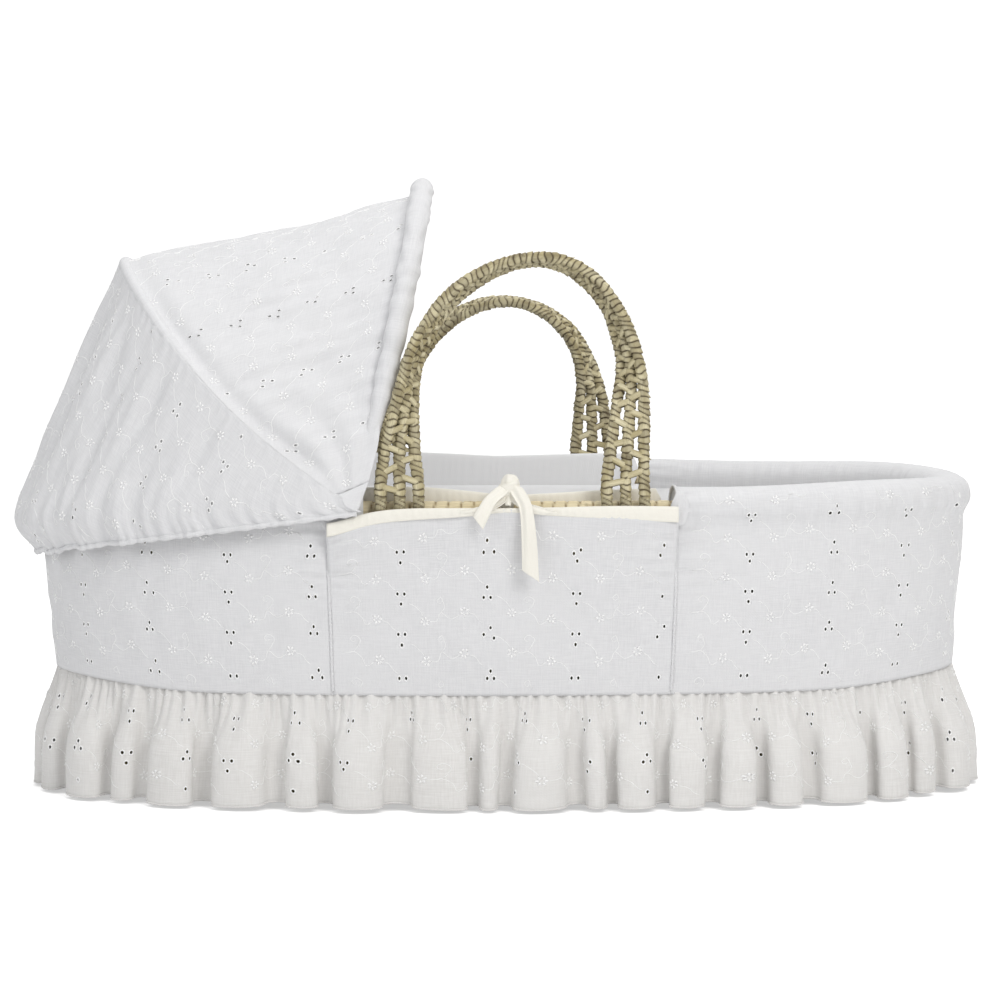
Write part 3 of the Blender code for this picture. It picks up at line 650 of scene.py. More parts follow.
def cut_eyelet(build, top, low, alive, columns, rows, half, wrap, spot):
    """Cut one eyelet with a stitched ring, unless it meets an edge or another eyelet."""
    scale = build.surface.v_length(spot[0])
    step_across, step_up = columns[1] - columns[0], rows[1] - rows[0]
    sizes = list(zip((step_across, step_up * scale), EYELET_RADII))
    reach = [1 if cell >= 1.3 * radius else math.ceil(1.85 * radius / cell)
             for cell, radius in sizes]
    spread = min(1.85, *(0.97 * count * cell / radius
                         for count, (cell, radius) in zip(reach, sizes)))
    i0 = int(round((spot[0] - columns[0]) / step_across))
    j0 = int(round((spot[1] - rows[0]) / step_up))
    left, right = i0 - reach[0], i0 + reach[0]
    bottom, upper = j0 - reach[1], j0 + reach[1]
    across_count, up_count = alive.shape
    if not wrap and (left < 1 or right > across_count - 1):
        return
    if bottom < 1 or upper > up_count - 1 or max(reach) > 6:
        return
    hole = np.ix_(np.arange(left, right) % across_count, np.arange(bottom, upper))
    if not alive[hole].all():
        return
    alive[hole] = False
    across, up = columns[i0], rows[j0]
    loop = ([(i, bottom) for i in range(left, right)]
            + [(right, j) for j in range(bottom, upper)]
            + [(i, upper) for i in range(right, left, -1)]
            + [(left, j) for j in range(upper, bottom, -1)])
    i, j = np.array(loop).T
    radius_across, radius_up = EYELET_RADII
    angle = np.arctan2((rows[0] + j * step_up - up) * scale / radius_up,
                       (columns[0] + i * step_across - across) / radius_across)
    # rings as (share of the radius, height): foot, ridge and lip above, edge below
    rings = [(spread, half), (1 + (spread - 1) * 0.55, half + EYELET_RIDGE),
             (1.04, half + EYELET_RIDGE * 0.5), (1.0, -half)]
    i = i % len(top)
    ids = np.array([top[i, j]] + [
        build.later(across + radius_across * share * np.cos(angle),
                    up + radius_up * share * np.sin(angle) / scale, height)
        for share, height in rings] + [low[i, j]])
    build.quads(grid_faces(ids, close_columns=True)[:, FLIP],
                np.repeat([0, 1, 1, 1, 0], len(loop)))


def add_sheet(build, columns, rows, thick, wrap=False, eyelets=()):
    """A closed sheet over a grid of the build's surface, wrap joining its first column to
    its last."""
    surface = build.surface
    across, up = np.meshgrid(columns[:-1] if wrap else columns, rows, indexing="ij")
    middle = surface.point(across, up)
    lift = surface.normals(across, up) * (thick / 2)
    cloth = surface.cloth(across, up)
    top, low = build.add(middle + lift, cloth), build.add(middle - lift, cloth)
    alive = np.ones((len(columns) - 1, len(rows) - 1), bool)
    for spot in eyelets:
        cut_eyelet(build, top, low, alive, columns, rows, thick / 2, wrap, spot)
    build.skin(top, low, wrap, alive)


# ------------------------------------------------------------------ the embroidery
REPEAT_X, REPEAT_Y = 0.0768, 0.0352
FLOWER_RADIUS = 0.0045
STITCH_HALF = 0.00036            # half width of a vine line


def motif(x_span, y_span, seed, shift):
    """Eyelets (x, y), flowers (x, y, turn) and vine lines inside a rectangle of cloth."""
    rng = np.random.default_rng(seed)
    low, high = np.array([x_span, y_span], float).T
    eyelets, flowers, vines = [], [], []

    def jitter(amount):
        return rng.uniform(-amount, amount, 2)

    def repeats(k, size, spare):
        return range(math.floor((low[k] - shift[k]) / size) - spare,
                     math.ceil((high[k] - shift[k]) / size) + spare + 1)
    for column in repeats(0, REPEAT_X, 1):
        way = 1 if column % 2 == 0 else -1
        sink = 0.0 if way > 0 else -0.0065
        for row in repeats(1, REPEAT_Y, 2):
            cluster = np.array([shift[0] + column * REPEAT_X,
                                shift[1] + row * REPEAT_Y + sink]) + jitter(0.0006)
            for x, y in ((-0.0033, -0.0037), (0.0033, -0.0037), (0.0, 0.0042)):
                eyelets.append(cluster + (x, y * way) + jitter(0.0002))
            right = cluster + (0.0205, -REPEAT_Y * 0.52) + jitter(0.001)
            left = cluster + (-0.0215, -REPEAT_Y * 0.50) + jitter(0.001)
            flowers += [(*flower, rng.uniform(0, 6.3)) for flower in (right, left)]
            # cluster to the right-hand flower, and the left-hand flower to the cluster below
            vines.append(curve([cluster + (0.0060, -0.0035), cluster + (0.0105, -0.0050),
                                cluster + (0.0165, -0.0100), right + (-0.0012, 0.0040)]))
            vines.append(curve([left + (0.0040, -0.0010),
                                cluster + (-0.0120, -REPEAT_Y * 0.58),
                                cluster + (-0.0078, 0.0095 - REPEAT_Y),
                                cluster + (-0.0040, 0.0072 - REPEAT_Y)]))
            # the wavy line to the next column's flower, with its curl
            drop = -0.0065 * way
            far = np.array([cluster[0] + REPEAT_X - 0.0215, right[1] + drop])
            middle = np.array([0.5 * (right[0] + far[0]), right[1] + 0.0045 + 0.5 * drop])
            root = middle + (-0.0035, 0.0)
            vines.append(curve([right + (0.0040, 0.0), right + (0.0105, 0.0004), root,
                                middle + (0.0030, -0.0045), far + (-0.0105, -0.0040),
                                far + (-0.0040, -0.0006)]))
            sway = 0.002 if rng.uniform() < 0.5 else -0.002
            vines.append(curve([root, root + (0.0035, 0.0045), root + (0.0040 + sway, 0.0100),
                                root + (0.0005, 0.0135), root + (-0.0032, 0.0105),
                                root + (-0.0010, 0.0078), root + (0.0012, 0.0095)]))

    def trimmed(rows, margin):
        rows = np.array(rows)
        spots = rows[:, :2]
        return rows[((low + margin < spots) & (spots < high - margin)).all(1)]
    kept = [(trimmed(line, 0.0015), len(line)) for line in vines]
    lines = [line for line, full in kept if len(line) > 3 and len(line) >= 0.5 * full]
    return trimmed(eyelets, 0.004), trimmed(flowers, 0.005), lines


# Petal points: share of the petal's length, share of its half width, height
PETAL = np.array([
    (0, 0, -0.00015), (0.35, -1, -0.0001), (0.8, -0.8, -0.0001), (1, 0, -0.00015),
    (0.8, 0.8, -0.0001), (0.35, 1, -0.0001), (0.35, 0, 0.00055), (0.78, 0, 0.00048),
    (0.5, 0, -0.0003)])
PETAL_FACES = np.array([
    (0, 1, 6), (1, 2, 6), (2, 7, 6), (2, 3, 7), (3, 4, 7), (4, 5, 6), (4, 6, 7), (5, 0, 6),
    (1, 0, 8), (2, 1, 8), (3, 2, 8), (4, 3, 8), (5, 4, 8), (0, 5, 8)])


def embroider(build, flowers, vines, lift):
    """Raised stitches: flowers of small petals and thin vine lines."""
    v_length = build.surface.v_length
    for across, up, turn in flowers:
        count = 6 if (int(across * 1e4) + int(up * 1e4)) % 3 else 5
        petal = np.arange(count)[:, None]
        angle = turn + 2 * pi * petal / count
        inner = FLOWER_RADIUS * 0.26
        outer = FLOWER_RADIUS * (1.02 + 0.10 * np.sin(3.1 * petal + turn))
        x = inner + (outer - inner) * PETAL[:, 0]
        y = FLOWER_RADIUS * 0.29 * PETAL[:, 1]
        ids = build.later((across + x * np.cos(angle) - y * np.sin(angle)).ravel(),
                          (up + (x * np.sin(angle) + y * np.cos(angle))
                           / v_length(across)).ravel(),
                          lift + np.tile(PETAL[:, 2], count))
        build.tris(ids[0] + len(PETAL) * petal[..., None] + PETAL_FACES, 1)
    for line in vines:
        count = len(line)
        scale = stack(np.ones(count), v_length(line[:, 0]))
        way = unit(np.gradient(line, axis=0) * scale)
        half = np.full(count, STITCH_HALF)
        half[[0, -1]] = 0.00015
        shift = stack(-way[:, 1], way[:, 0]) * half[:, None] / scale
        spots = np.concatenate([line + shift, line - shift, line])
        height = lift + np.repeat([-0.0001, -0.0001, 0.00024], count)
        left, right, crest = build.later(spots[:, 0], spots[:, 1], height).reshape(3, -1)
        build.band(crest, left, 1)
        build.band(right, crest, 1)
        build.band(left, right, 1)
        build.tris([[left[0], right[0], crest[0]], [right[-1], left[-1], crest[-1]]], 1)


def embroidered_sheet(name, surface, columns, rows, pattern, materials,
                      thick=CLOTH_THICK, wrap=False, cut=True):
    """A sheet with its pattern stitched on, and the eyelets cut through it."""
    eyelets, flowers, vines = pattern
    build = Build(surface)
    add_sheet(build, columns, rows, thick, wrap, eyelets if cut else ())
    embroider(build, flowers, vines, thick / 2)
    return build.make(name, materials)


# ------------------------------------------------------------------ tubes
def tube_frames(line, hint, closed):
    """Tangents along a line and two directions across it that do not spin."""
    if closed:
        tangent = unit(np.roll(line, -1, 0) - np.roll(line, 1, 0))
    else:
        tangent = unit(np.gradient(line, axis=0))
    hint = np.asarray(hint, float)
    if abs(tangent[0] @ hint) > 0.95:
        hint = np.array([0, 1.0, 0])
    side = np.zeros_like(line)
    side[0] = unit(np.cross(tangent[0], hint))
    for i in range(1, len(line)):
        side[i] = unit(side[i - 1] - tangent[i] * (side[i - 1] @ tangent[i]))
    if closed:
        twist = math.atan2(np.cross(side[-1], side[0]) @ tangent[0], side[-1] @ side[0])
        angle = (twist * np.arange(len(line)) / len(line))[:, None]
        side = side * np.cos(angle) + np.cross(tangent, side) * np.sin(angle)
    return tangent, side, np.cross(tangent, side)


def add_tube(build, line, radius, sides, hint=(0, 0, 1), closed=False, relief=None,
             shade=None):
    """A tube along a line; relief(run, angle) adds to its radius, shade(run, angle) gives its painted
    shade and tone.
    """
    line = np.asarray(line, float)
    tangent, side, other = tube_frames(line, hint, closed)
    run = distance_along(line)[:, None]
    angle = (2 * pi * np.arange(sides) / sides)[None]
    radii = np.broadcast_to(np.reshape(radius, (-1, 1)), (len(line), sides))
    if relief is not None:
        radii = radii + relief(run, angle)
    spokes = (np.cos(angle)[..., None] * side[:, None]
              + np.sin(angle)[..., None] * other[:, None])
    cloth = stack(angle * float(np.mean(radii)), run)
    ids = build.add(line[:, None] + radii[..., None] * spokes, cloth,
                    1.0 if shade is None else shade(run, angle))
    build.quads(grid_faces(ids, close_rows=closed, close_columns=True)[:, FLIP])
    if not closed:
        for end, bulge in ((0, -0.0004), (-1, 0.0004)):
            centre = build.add(line[end] + tangent[end] * bulge, cloth[end, 0])
            build.fan(ids[end], centre, flip=end == 0)


def tube_object(name, line, radius, sides, material, **shape):
    build = Build()
    add_tube(build, line, radius, sides, **shape)
    return build.make(name, [material])


# ------------------------------------------------------------------ the fitted cover
# Profiles up the wall: offset from the plan curve, z
end_profile, END_LENGTH = profile_of([
    (.0142, .1045), (.0140, .125), (.0136, .165), (.0140, .205), (.0136, .234),
    (.0138, .2480), (.0156, .2545), (.0184, .2605), (.0188, .2680), (.0160, .2765),
    (.0088, .2822), (.0000, .2836), (-.0092, .2812), (-.0156, .2745), (-.0172, .2660),
    (-.0158, .2570), (-.0152, .2500)])
side_profile, SIDE_LENGTH = profile_of([
    (.0142, .1045), (.0140, .125), (.0134, .160), (.0142, .195), (.0164, .222),
    (.0196, .2400), (.0226, .2520), (.0232, .2560)])
cover_broad = wave_field(11, [0.16, 0.09], 5, stretch=(1.0, 1.6), period=PERIMETER)
cover_fine = wave_field(12, [0.034, 0.022], 6, stretch=(1.0, 2.4), period=PERIMETER)
PATTERN_SHIFT = (around_at(-0.02, -1), 0.018)

# The outer binding at stations of x: its lower edge's z, and its height
BINDING_X = [-.165, -.150, -.120, -.090, -.045, -.004, .035, .085, .125, .150]
binding_low = smooth_table(BINDING_X, [
    .2400, .2430, .2520, .2560, .2590, .2628, .2600, .2570, .2545, .2530])
binding_tall = smooth_table(BINDING_X, [
    .0125, .0120, .0112, .0105, .0080, .0040, .0075, .0115, .0135, .0140])


def lower_seam_shift(around):
    """The seam above the frill rises towards the ends of the basket."""
    return -0.0042 + 0.0110 * smooth(np.abs(x_at(around)), 0.27, 0.43)


def cover_surface(seams, rolled):
    """A cover panel's surface: rolled over the rim for an end panel, flat for a side one."""
    profile = end_profile if rolled else side_profile

    def point(around, up):
        around, up = np.broadcast_arrays(around, up)
        off, z = profile(up)
        if not rolled:
            z = z + (binding_low(x_at(around)) + 0.003 - 0.256) * smooth(up, 0.085, 0.155)
        wall = smooth(up, 0.01, 0.05) * (1 - smooth(up, 0.118, 0.150))
        lift = 0.0011 * cover_broad(around, up) * smooth(up, 0.004, 0.05)
        lift = lift + 0.00045 * cover_fine(around, up) * wall
        for k, seam in enumerate(seams):
            # tucks fan off each seam under the rim
            away = around - seam
            gap = np.abs(away)
            tuck = np.exp(-gap / 0.026) * (1 - np.exp(-(gap / 0.004) ** 2))
            lift = lift + tuck * (0.0017 * wave(up, 0.0105, 1.3 * k + 30 * away)
                                  + 0.0008 * wave(up, 0.0066, 2.1 * k - 44 * away)
                                  ) * smooth(up, 0.060, 0.11)
        if rolled:
            # gathers of the elasticated rim: short ripples under and over the roll
            roll = smooth(up, 0.140, 0.156) * (1 - smooth(up, 0.205, 0.228))
            gather = np.sin(phase(around, 0.0175, (1.9, 0.083), (0.9, 0.211)))
            crimp = np.sin(phase(around, 0.0093, (2.3, 0.061)))
            lift = (lift + roll * (0.00055 * gather + 0.00025 * crimp)
                    + bump(up, 0.1515, 0.011) * (0.0008 * gather + 0.0004 * crimp))
            z = z + 0.0014 * wave(around, 0.31, 0.8) * smooth(up, 0.15, 0.18)
        pull = np.max([np.exp(-np.abs(around - seam) / 0.020) for seam in seams], axis=0)
        lift = lift - 0.0028 * pull * (0.35 + 0.65 * smooth(up, 0.03, 0.13))
        z = z + lower_seam_shift(around) * (1 - smooth(up, 0.0, 0.055))
        return plan(theta_of(around), z, off + lift)
    return Surface(point)


def cover_panel(label, seams, rolled, seed):
    start, end = seams
    length = END_LENGTH if rolled else SIDE_LENGTH
    pattern_top = min(length, 0.176 if rolled else length - 0.010)
    panel = embroidered_sheet(
        "cover_" + label, cover_surface(seams, rolled), grid_axis(start, end, CELL),
        grid_axis(0.0, length, CELL),
        motif((start + 0.006, end - 0.006), (0.004, pattern_top), seed, PATTERN_SHIFT),
        [COTTON, THREAD])
    attach(panel, "embroidered_cotton", "cover_%s_panel" % label)


def cover_seam(number, around, seams):
    """The raised line where two panels are sewn."""
    up = np.arange(0.004, END_LENGTH - 0.014, 0.0011)
    line = cover_surface(seams, True).place(around, up, 0.0006 + 0.000175 * wave(up, 0.0052))
    radius = 0.0012 * (1 + 0.22 * wave(up, 0.0034))
    attach(tube_object("cover_seam_%d" % number, line, radius, 8, COTTON),
           "embroidered_cotton")


for label, seams, rolled, seed in (("head", HEAD, True, 21), ("foot", FOOT, True, 22),
                                   ("left", LEFT, False, 23), ("right", RIGHT, False, 24)):
    cover_panel(label, seams, rolled, seed)
for number, (around, seams) in enumerate(
        ((HEAD[0], HEAD), (HEAD[1], HEAD), (FOOT[0], FOOT), (FOOT[1], FOOT)), 1):
    cover_seam(number, around, seams)

# ------------------------------------------------------------------ the gathered frill
FRILL_HEIGHT = FRILL_TOP_Z = 0.1045
FRILL_CLOTH = PERIMETER * 1.48   # length of cloth gathered into the seam
FOLD_COUNT = 41
_rng = np.random.default_rng(5)
_widths = _rng.uniform(0.55, 1.45, FOLD_COUNT)
FOLD_ENDS = np.concatenate([[0], np.cumsum(_widths)]) / _widths.sum()
FOLD_DEPTH = (_rng.uniform(0.75, 1.12, FOLD_COUNT)
              * (0.72 + 0.28 * np.minimum(_widths, 1.2)))
FOLD_TURN = _rng.uniform(0.86, 1.06, FOLD_COUNT)
FOLD_LEAN = _rng.uniform(-1.0, 1.0, FOLD_COUNT)
MOST_TURN = 1.9                  # steepest tangent angle in the meander tables


def meander_tables():
    """Sine-generated curves, crest drawn out and valley narrow, by steepest tangent angle."""
    share = np.linspace(0, 1, 257)
    skewed = share + 0.42 * wave(share, 1.0) / (2 * pi)
    x_rows, y_rows = [], []
    for turn in np.linspace(0, MOST_TURN, 39):
        angle = turn * wave(skewed, 1.0)
        x, y = (np.concatenate([[0], np.cumsum(0.5 * (pace[1:] + pace[:-1]))])
                for pace in (np.cos(angle), np.sin(angle)))
        y = y - share * y[-1]
        x_rows.append(x / x[-1])
        y_rows.append(y / max(y.max(), 1e-6) if turn > 0
                      else (1 - np.cos(2 * pi * share)) / 2)
    return np.array(x_rows), np.array(y_rows)


MEANDER = meander_tables()


def meander(share, turn):
    row = np.clip(turn / MOST_TURN, 0, 0.9999) * 38
    column = np.clip(share, 0, 0.99999) * 256
    i, j = np.floor(row).astype(int), np.floor(column).astype(int)
    row, column = row - i, column - j
    return tuple(table[i, j] * (1 - row) * (1 - column) + table[i + 1, j] * row * (1 - column)
                 + table[i, j + 1] * (1 - row) * column + table[i + 1, j + 1] * row * column
                 for table in MEANDER)


frill_mid = smooth_random(32, 0.034, 1.0, FRILL_CLOTH)
frill_low = smooth_random(34, 0.060, 1.0, PERIMETER)
hem_wave = smooth_random(33, 0.09, 0.0016, PERIMETER)


def frill_point(along, down):
    """along in metres of cloth, down in metres below the frill's seam."""
    along, down = np.broadcast_arrays(along, down)
    fall = np.clip(down / FRILL_HEIGHT, -0.05, 1.05)
    place = along / FRILL_CLOTH
    turns = np.floor(place)
    place = place - turns
    i = np.clip(np.searchsorted(FOLD_ENDS, place, side="right") - 1, 0, FOLD_COUNT - 1)
    wide = FOLD_ENDS[i + 1] - FOLD_ENDS[i]
    grow = smooth(fall, -0.03, 0.62)
    turn = 1.72 * FOLD_TURN[i] * (0.15 + 0.85 * smooth(fall, 0.0, 0.55))
    x, y = meander((place - FOLD_ENDS[i]) / wide, turn)
    around = (turns + FOLD_ENDS[i] + wide * x) * PERIMETER
    around = (around + 0.10 * FOLD_LEAN[i] * wide * PERIMETER * y * grow
              + 0.006 * frill_low(around) * fall)
    # fine gathers near the seam fade out as the folds grow
    fade = 1 - smooth(fall, 0.05, 0.55)
    beat = phase(along, 0.0150, (1.8, 0.083), (1.4, 0.171))
    gathers = (0.0021 * fade * smooth(fall, -0.03, 0.07)
               * (np.sin(beat) + 0.45 * np.sin(0.53 * beat + 1.0)))
    off = (0.0112 + 0.0145 * smooth(fall, 0.0, 1.0) ** 0.85 - 0.0082 * grow
           + 0.0205 * FOLD_DEPTH[i] * y * grow + gathers
           + 0.0013 * frill_mid(along + 0.05 * fall) * smooth(fall, 0.05, 0.3)
           + 0.0036 * np.sin(pi * np.clip(fall * 1.15, 0, 1)) * (0.3 + 0.7 * y))
    hem_z = 0.0030 + 0.0026 * (1 - y) + hem_wave(around) * 0.5
    z = (0.1085 + lower_seam_shift(around)) * (1 - fall) + hem_z * fall
    return plan(theta_of(around), FRILL_TOP_Z, off, z)


def frill():
    surface = Surface(lambda along, up: frill_point(along, FRILL_HEIGHT - up))
    pattern = motif((0.0, FRILL_CLOTH), (0.004, FRILL_HEIGHT - 0.004), 41,
                    (PATTERN_SHIFT[0] + 0.02, 0.010))
    cloth = embroidered_sheet(
        "frill_gathered", surface, grid_axis(0.0, FRILL_CLOTH, CELL),
        grid_axis(0.0, FRILL_HEIGHT + 0.004, CELL), pattern, [FRILL, THREAD], wrap=True)
    attach(cloth, "frill_cotton", "frill")
    # rolled hem along the bottom edge
    along = np.arange(0, FRILL_CLOTH, 0.0024)
    line = frill_point(along, FRILL_HEIGHT - 0.0004)
    line[:, 2] = np.maximum(line[:, 2], 0.0014)
    radius = 0.0009 * (1 + 0.10 * wave(along, 0.0048))
    attach(tube_object("frill_hem", line, radius, 8, FRILL, closed=True), "frill_cotton")


frill()

# ------------------------------------------------------------------ straw rim coil
BINDER_PITCH = 0.0112
coil_shift = smooth_random(35, 0.031, 0.0034, PERIMETER)


def binder_grooves(run, angle, width):
    place = (run + coil_shift(run) + 0.0016 * np.sin(angle + 0.8)) % BINDER_PITCH
    return bump(place, 0.0, width) + bump(place, BINDER_PITCH, width)


def coil_relief(run, angle):
    strands = 0.00050 * np.abs(np.sin(angle * 9 + run * 14.0))
    return strands - 0.0010 * binder_grooves(run, angle, 0.0009) - 0.0002


def coil_painted_shade(run, angle):
    # painted shade: dark in the binder grooves and between the strands
    gaps = np.abs(np.cos(angle * 9 + run * 14.0)) ** 6
    return np.clip(1 - 0.9 * binder_grooves(run, angle, 0.0008) - 0.12 * gaps, 0, 1)


def rim_coil():
    line = plan(theta_of(np.arange(0, PERIMETER, 0.0016)), COIL_Z, 0.0)
    coil = tube_object("straw_rim", line, COIL_RADIUS - 0.0004, 44, STRAW, closed=True,
                       relief=coil_relief, shade=coil_painted_shade)
    attach(coil, "pale_straw", "rim_coil")


rim_coil()


# ------------------------------------------------------------------ woven wall and base
def woven_wall():
    row_height = 0.0125

    def point(around, up):
        ridge = np.abs(np.sin(pi * up / row_height))
        stitch = wave(around, 0.0105, 2.4 * np.floor(up / row_height))
        return plan(theta_of(around), 0.001 + up, 0.0018 * ridge + 0.0005 * stitch * ridge)
    build = Build(Surface(point, probe=(0.0012, 0.0008)))
    add_sheet(build, np.linspace(0, PERIMETER, 700), np.linspace(0, 0.2515, 120), 0.0042,
              wrap=True)
    attach(build.make("woven_wall", [WOVEN]), "palm_leaf", "basket_wall")


def woven_base():
    """The floor of the basket: rows of coil sewn side by side."""
    row_width = 0.0105
    theta = np.linspace(0, 2 * pi, 421)[:-1]
    share = np.linspace(0.0, 1.0, 105)[1:, None]
    reach = BASE_HALF_Y * (1 - share)
    ridge = np.abs(np.sin(pi * reach / row_width))
    stitch = np.sin(theta * 170 + 2.4 * np.floor(reach / row_width))
    x, y, _ = plan(theta, 0.0, -0.0035).T
    cloth = stack(theta * 0.3, share * 0.16)
    build = Build()
    top = build.add(stack(x * share, y * share,
                          0.0076 + 0.0012 * ridge + 0.0003 * stitch * ridge), cloth)
    low = build.add(stack(x * share, y * share,
                          0.0016 - 0.0012 * ridge - 0.0002 * stitch * ridge), cloth)
    build.quads(grid_faces(top, close_columns=True))
    build.quads(grid_faces(low, close_columns=True)[:, ::-1])
    build.quads(grid_faces(np.array([top[-1], low[-1]]), close_columns=True))
    build.fan(top[0], build.add([0, 0, 0.0080], [0, 0]))
    build.fan(low[0], build.add([0, 0, 0.0014], [0, 0]), flip=True)
    attach(build.make("woven_base", [WOVEN]), "base_weave", "basket_base")


woven_wall()
woven_base()

# ------------------------------------------------------------------ padded liner
# Profile up the inside of the wall: offset from the plan curve, z
liner_profile, LINER_LENGTH = profile_of([
    (-.0170, .014), (-.0178, .040), (-.0182, .080), (-.0186, .120), (-.0190, .160),
    (-.0192, .200), (-.0188, .232), (-.0176, .2500), (-.0150, .2585), (-.0122, .2590)])
quilt_waves = wave_field(51, [0.11, 0.06], 6, period=PERIMETER)
CHANNEL_PITCH = PERIMETER / 21


def liner_point(around, up):
    off, z = liner_profile(up)
    puff = 0.0034 * np.sin(pi * np.clip((up - 0.02) / 0.205, 0, 1)) ** 0.7
    # soft channels where the padding is caught down
    place = (around / CHANNEL_PITCH) % 1.0
    gap = np.minimum(place, 1 - place) * CHANNEL_PITCH
    channel = np.exp(-(gap / 0.0055) ** 2)
    pucker = np.exp(-(gap / 0.022) ** 2) * wave(up, 0.019, 3 * np.sin(up * 60)) * 0.0006
    lift = (-puff * (1 - 0.85 * channel)
            - 0.0010 * quilt_waves(around, up) * (1 - channel) + pucker)
    return plan(theta_of(around), z, off + lift * (1 - smooth(up, 0.225, 0.245)))


def liner():
    # run backwards round the basket so that the outer face looks inwards
    surface = Surface(lambda across, up: liner_point(-across, up))
    pattern = motif((0.0, PERIMETER), (0.075, LINER_LENGTH - 0.028), 61, (0.01, 0.0))
    # the stitches only, no cut holes: the pad is backed
    quilt = embroidered_sheet(
        "padded_liner_quilt", surface, grid_axis(0.0, PERIMETER, CELL),
        grid_axis(0.0, LINER_LENGTH, CELL), pattern, [LINING, THREAD],
        thick=0.0030, wrap=True, cut=False)
    attach(quilt, "padded_lining", "padded_liner")


liner()


# ------------------------------------------------------------------ bindings along the slots
def edge_tape(name, around, off, foot, tall, thick, ripple, material, taper=True):
    """A folded tape standing on edge along the rim; foot and tall are its z and height."""
    count, sides = len(around), 18
    angle = 2 * pi * np.arange(sides) / sides
    rise, bulge = signed_power(np.sin(angle), 0.55), signed_power(np.cos(angle), 0.9)
    off, foot, tall = (np.reshape(value, (-1, 1)) for value in (off, foot, tall))
    around, end = around[:, None], 1.0
    if taper:
        nearest = np.minimum(np.arange(count), np.arange(count)[::-1])[:, None]
        end = np.clip(0.25 + nearest / 4.0, 0, 1)
    points = plan(theta_of(around), RIM_Z,
                  off + thick / 2 * bulge * end + ripple(around, 0.5 + 0.5 * rise),
                  foot + tall * (0.5 + 0.5 * rise * end))
    cloth = stack(around, np.arange(sides) / sides * 0.03)
    build = Build()
    ids = build.add(points, cloth)
    build.quads(grid_faces(ids, close_columns=True))
    for row in (0, -1):
        centre = build.add(points[row].mean(0), cloth[row, 0])
        build.fan(ids[row], centre, flip=row == -1)
    return build.make(name, [material])


def gather_ripple(seed, amount):
    """Small ripples across a tape, strongest near the tie."""
    start, swing_start = np.random.default_rng(seed).uniform(0, 6.3, 2)

    def ripple(around, rise):
        near = np.exp(-np.abs(x_at(around) - TIE_X) / 0.045)
        beat = phase(around, 0.0078, (1.7, 0.043, swing_start)) + start + 1.8 * rise
        return amount * (0.35 + near) * np.sin(beat) * (0.4 + 0.6 * np.sin(pi * rise))
    return ripple


# z of the inner binding's top at stations of x
inner_top = smooth_table(
    [-.165, -.148, -.110, -.080, -.040, -.010, .010, .050, .080, .120, .150],
    [.2815, .2820, .2825, .2828, .2795, .2762, .2760, .2780, .2797, .2808, .2812])
INNER_FOOT_Z = 0.2565


def outer_tape(label, side, panel):
    around = np.arange(panel[0] + 0.0006, panel[1] - 0.0006, 0.0016)
    x = x_at(around)
    tape = edge_tape(label + "_outer_edge_tape", around, 0.0236 - 0.002 * bump(x, TIE_X, 0.02),
                     binding_low(x), binding_tall(x), 0.0032,
                     gather_ripple(71 + side, 0.0006), RIBBON, taper=False)
    attach(tape, "cream_ribbon", label + "_outer_binding")


def inner_tape(label, side, panel):
    around = np.arange(panel[0] + 0.008, panel[1] - 0.008, 0.0016)
    top = inner_top(x_at(around))
    amount, material = 0.0005, RIBBON
    if side > 0:
        top = 0.5 * top + 0.5 * 0.2828 + RIGHT_DROP
        amount, material = 0.00012, LINING
    tape = edge_tape(label + "_inner_edge_tape", around, -0.0150, INNER_FOOT_Z,
                     top - INNER_FOOT_Z, 0.0034, gather_ripple(81 + side, amount), material)
    attach(tape, "cream_ribbon", label + "_inner_binding")


def corner_cloth(label, side, end, seam, reach, foot, top):
    """A short strip along the rim at a slot's end; reach is measured from its seam."""
    start, stop = sorted(seam - side * distance for distance in reach)
    around = np.arange(start, stop, 0.0016)
    fall = 1 - smooth(np.abs(around - seam), 0.012, 0.034) if end == "head" else 1.0
    strip = edge_tape("%s_%s_corner_cloth" % (label, end), around, 0.0165, foot,
                      (top - foot) * (0.55 + 0.45 * fall), 0.0030,
                      gather_ripple(91 + side, 0.0004), COTTON)
    attach(strip, "embroidered_cotton")


def seam_allowance(name, seam, side_seams):
    """The turned-in seam allowance between a side panel and an end panel."""
    side_panel, end_panel = cover_surface(side_seams, False), cover_surface((seam,), True)
    up = np.linspace(0.006, min(SIDE_LENGTH, END_LENGTH) - 0.004, 60)
    up = up[up < 0.152]
    share = np.linspace(0, 1, 5)[:, None, None]
    middle = (side_panel.place(seam, up, -0.0004) * (1 - share)
              + end_panel.place(seam, up, -0.0012) * share)
    half = unit(end_panel.point(seam + 0.002, up) - end_panel.point(seam, up)) * 0.0005
    cloth = stack(share[..., 0] * 0.006, up)
    build = Build()
    build.skin(build.add(middle + half, cloth), build.add(middle - half, cloth))
    strip = build.make(name, [COTTON])
    face_outwards(strip, merge=True)
    attach(strip, "embroidered_cotton")


def rim_end(name, seam, way):
    """The folded end of the padded rim where it meets the slot."""
    panel = cover_surface((seam,), True)
    up = np.linspace(0.128, END_LENGTH - 0.0015, 46)
    build = Build()
    rings = []
    for distance, flip in ((0.0005, False), (0.0026, True)):
        points = panel.place(seam + way * distance, up, -0.0009)
        ring = build.add(points, stack(seam, up))
        build.fan(ring, build.add(points.mean(0), [seam, up.mean()]), flip)
        rings.append(ring)
    build.quads(grid_faces(np.array(rings), close_columns=True))
    cap = build.make(name, [COTTON])
    face_outwards(cap, merge=True)
    attach(cap, "embroidered_cotton")


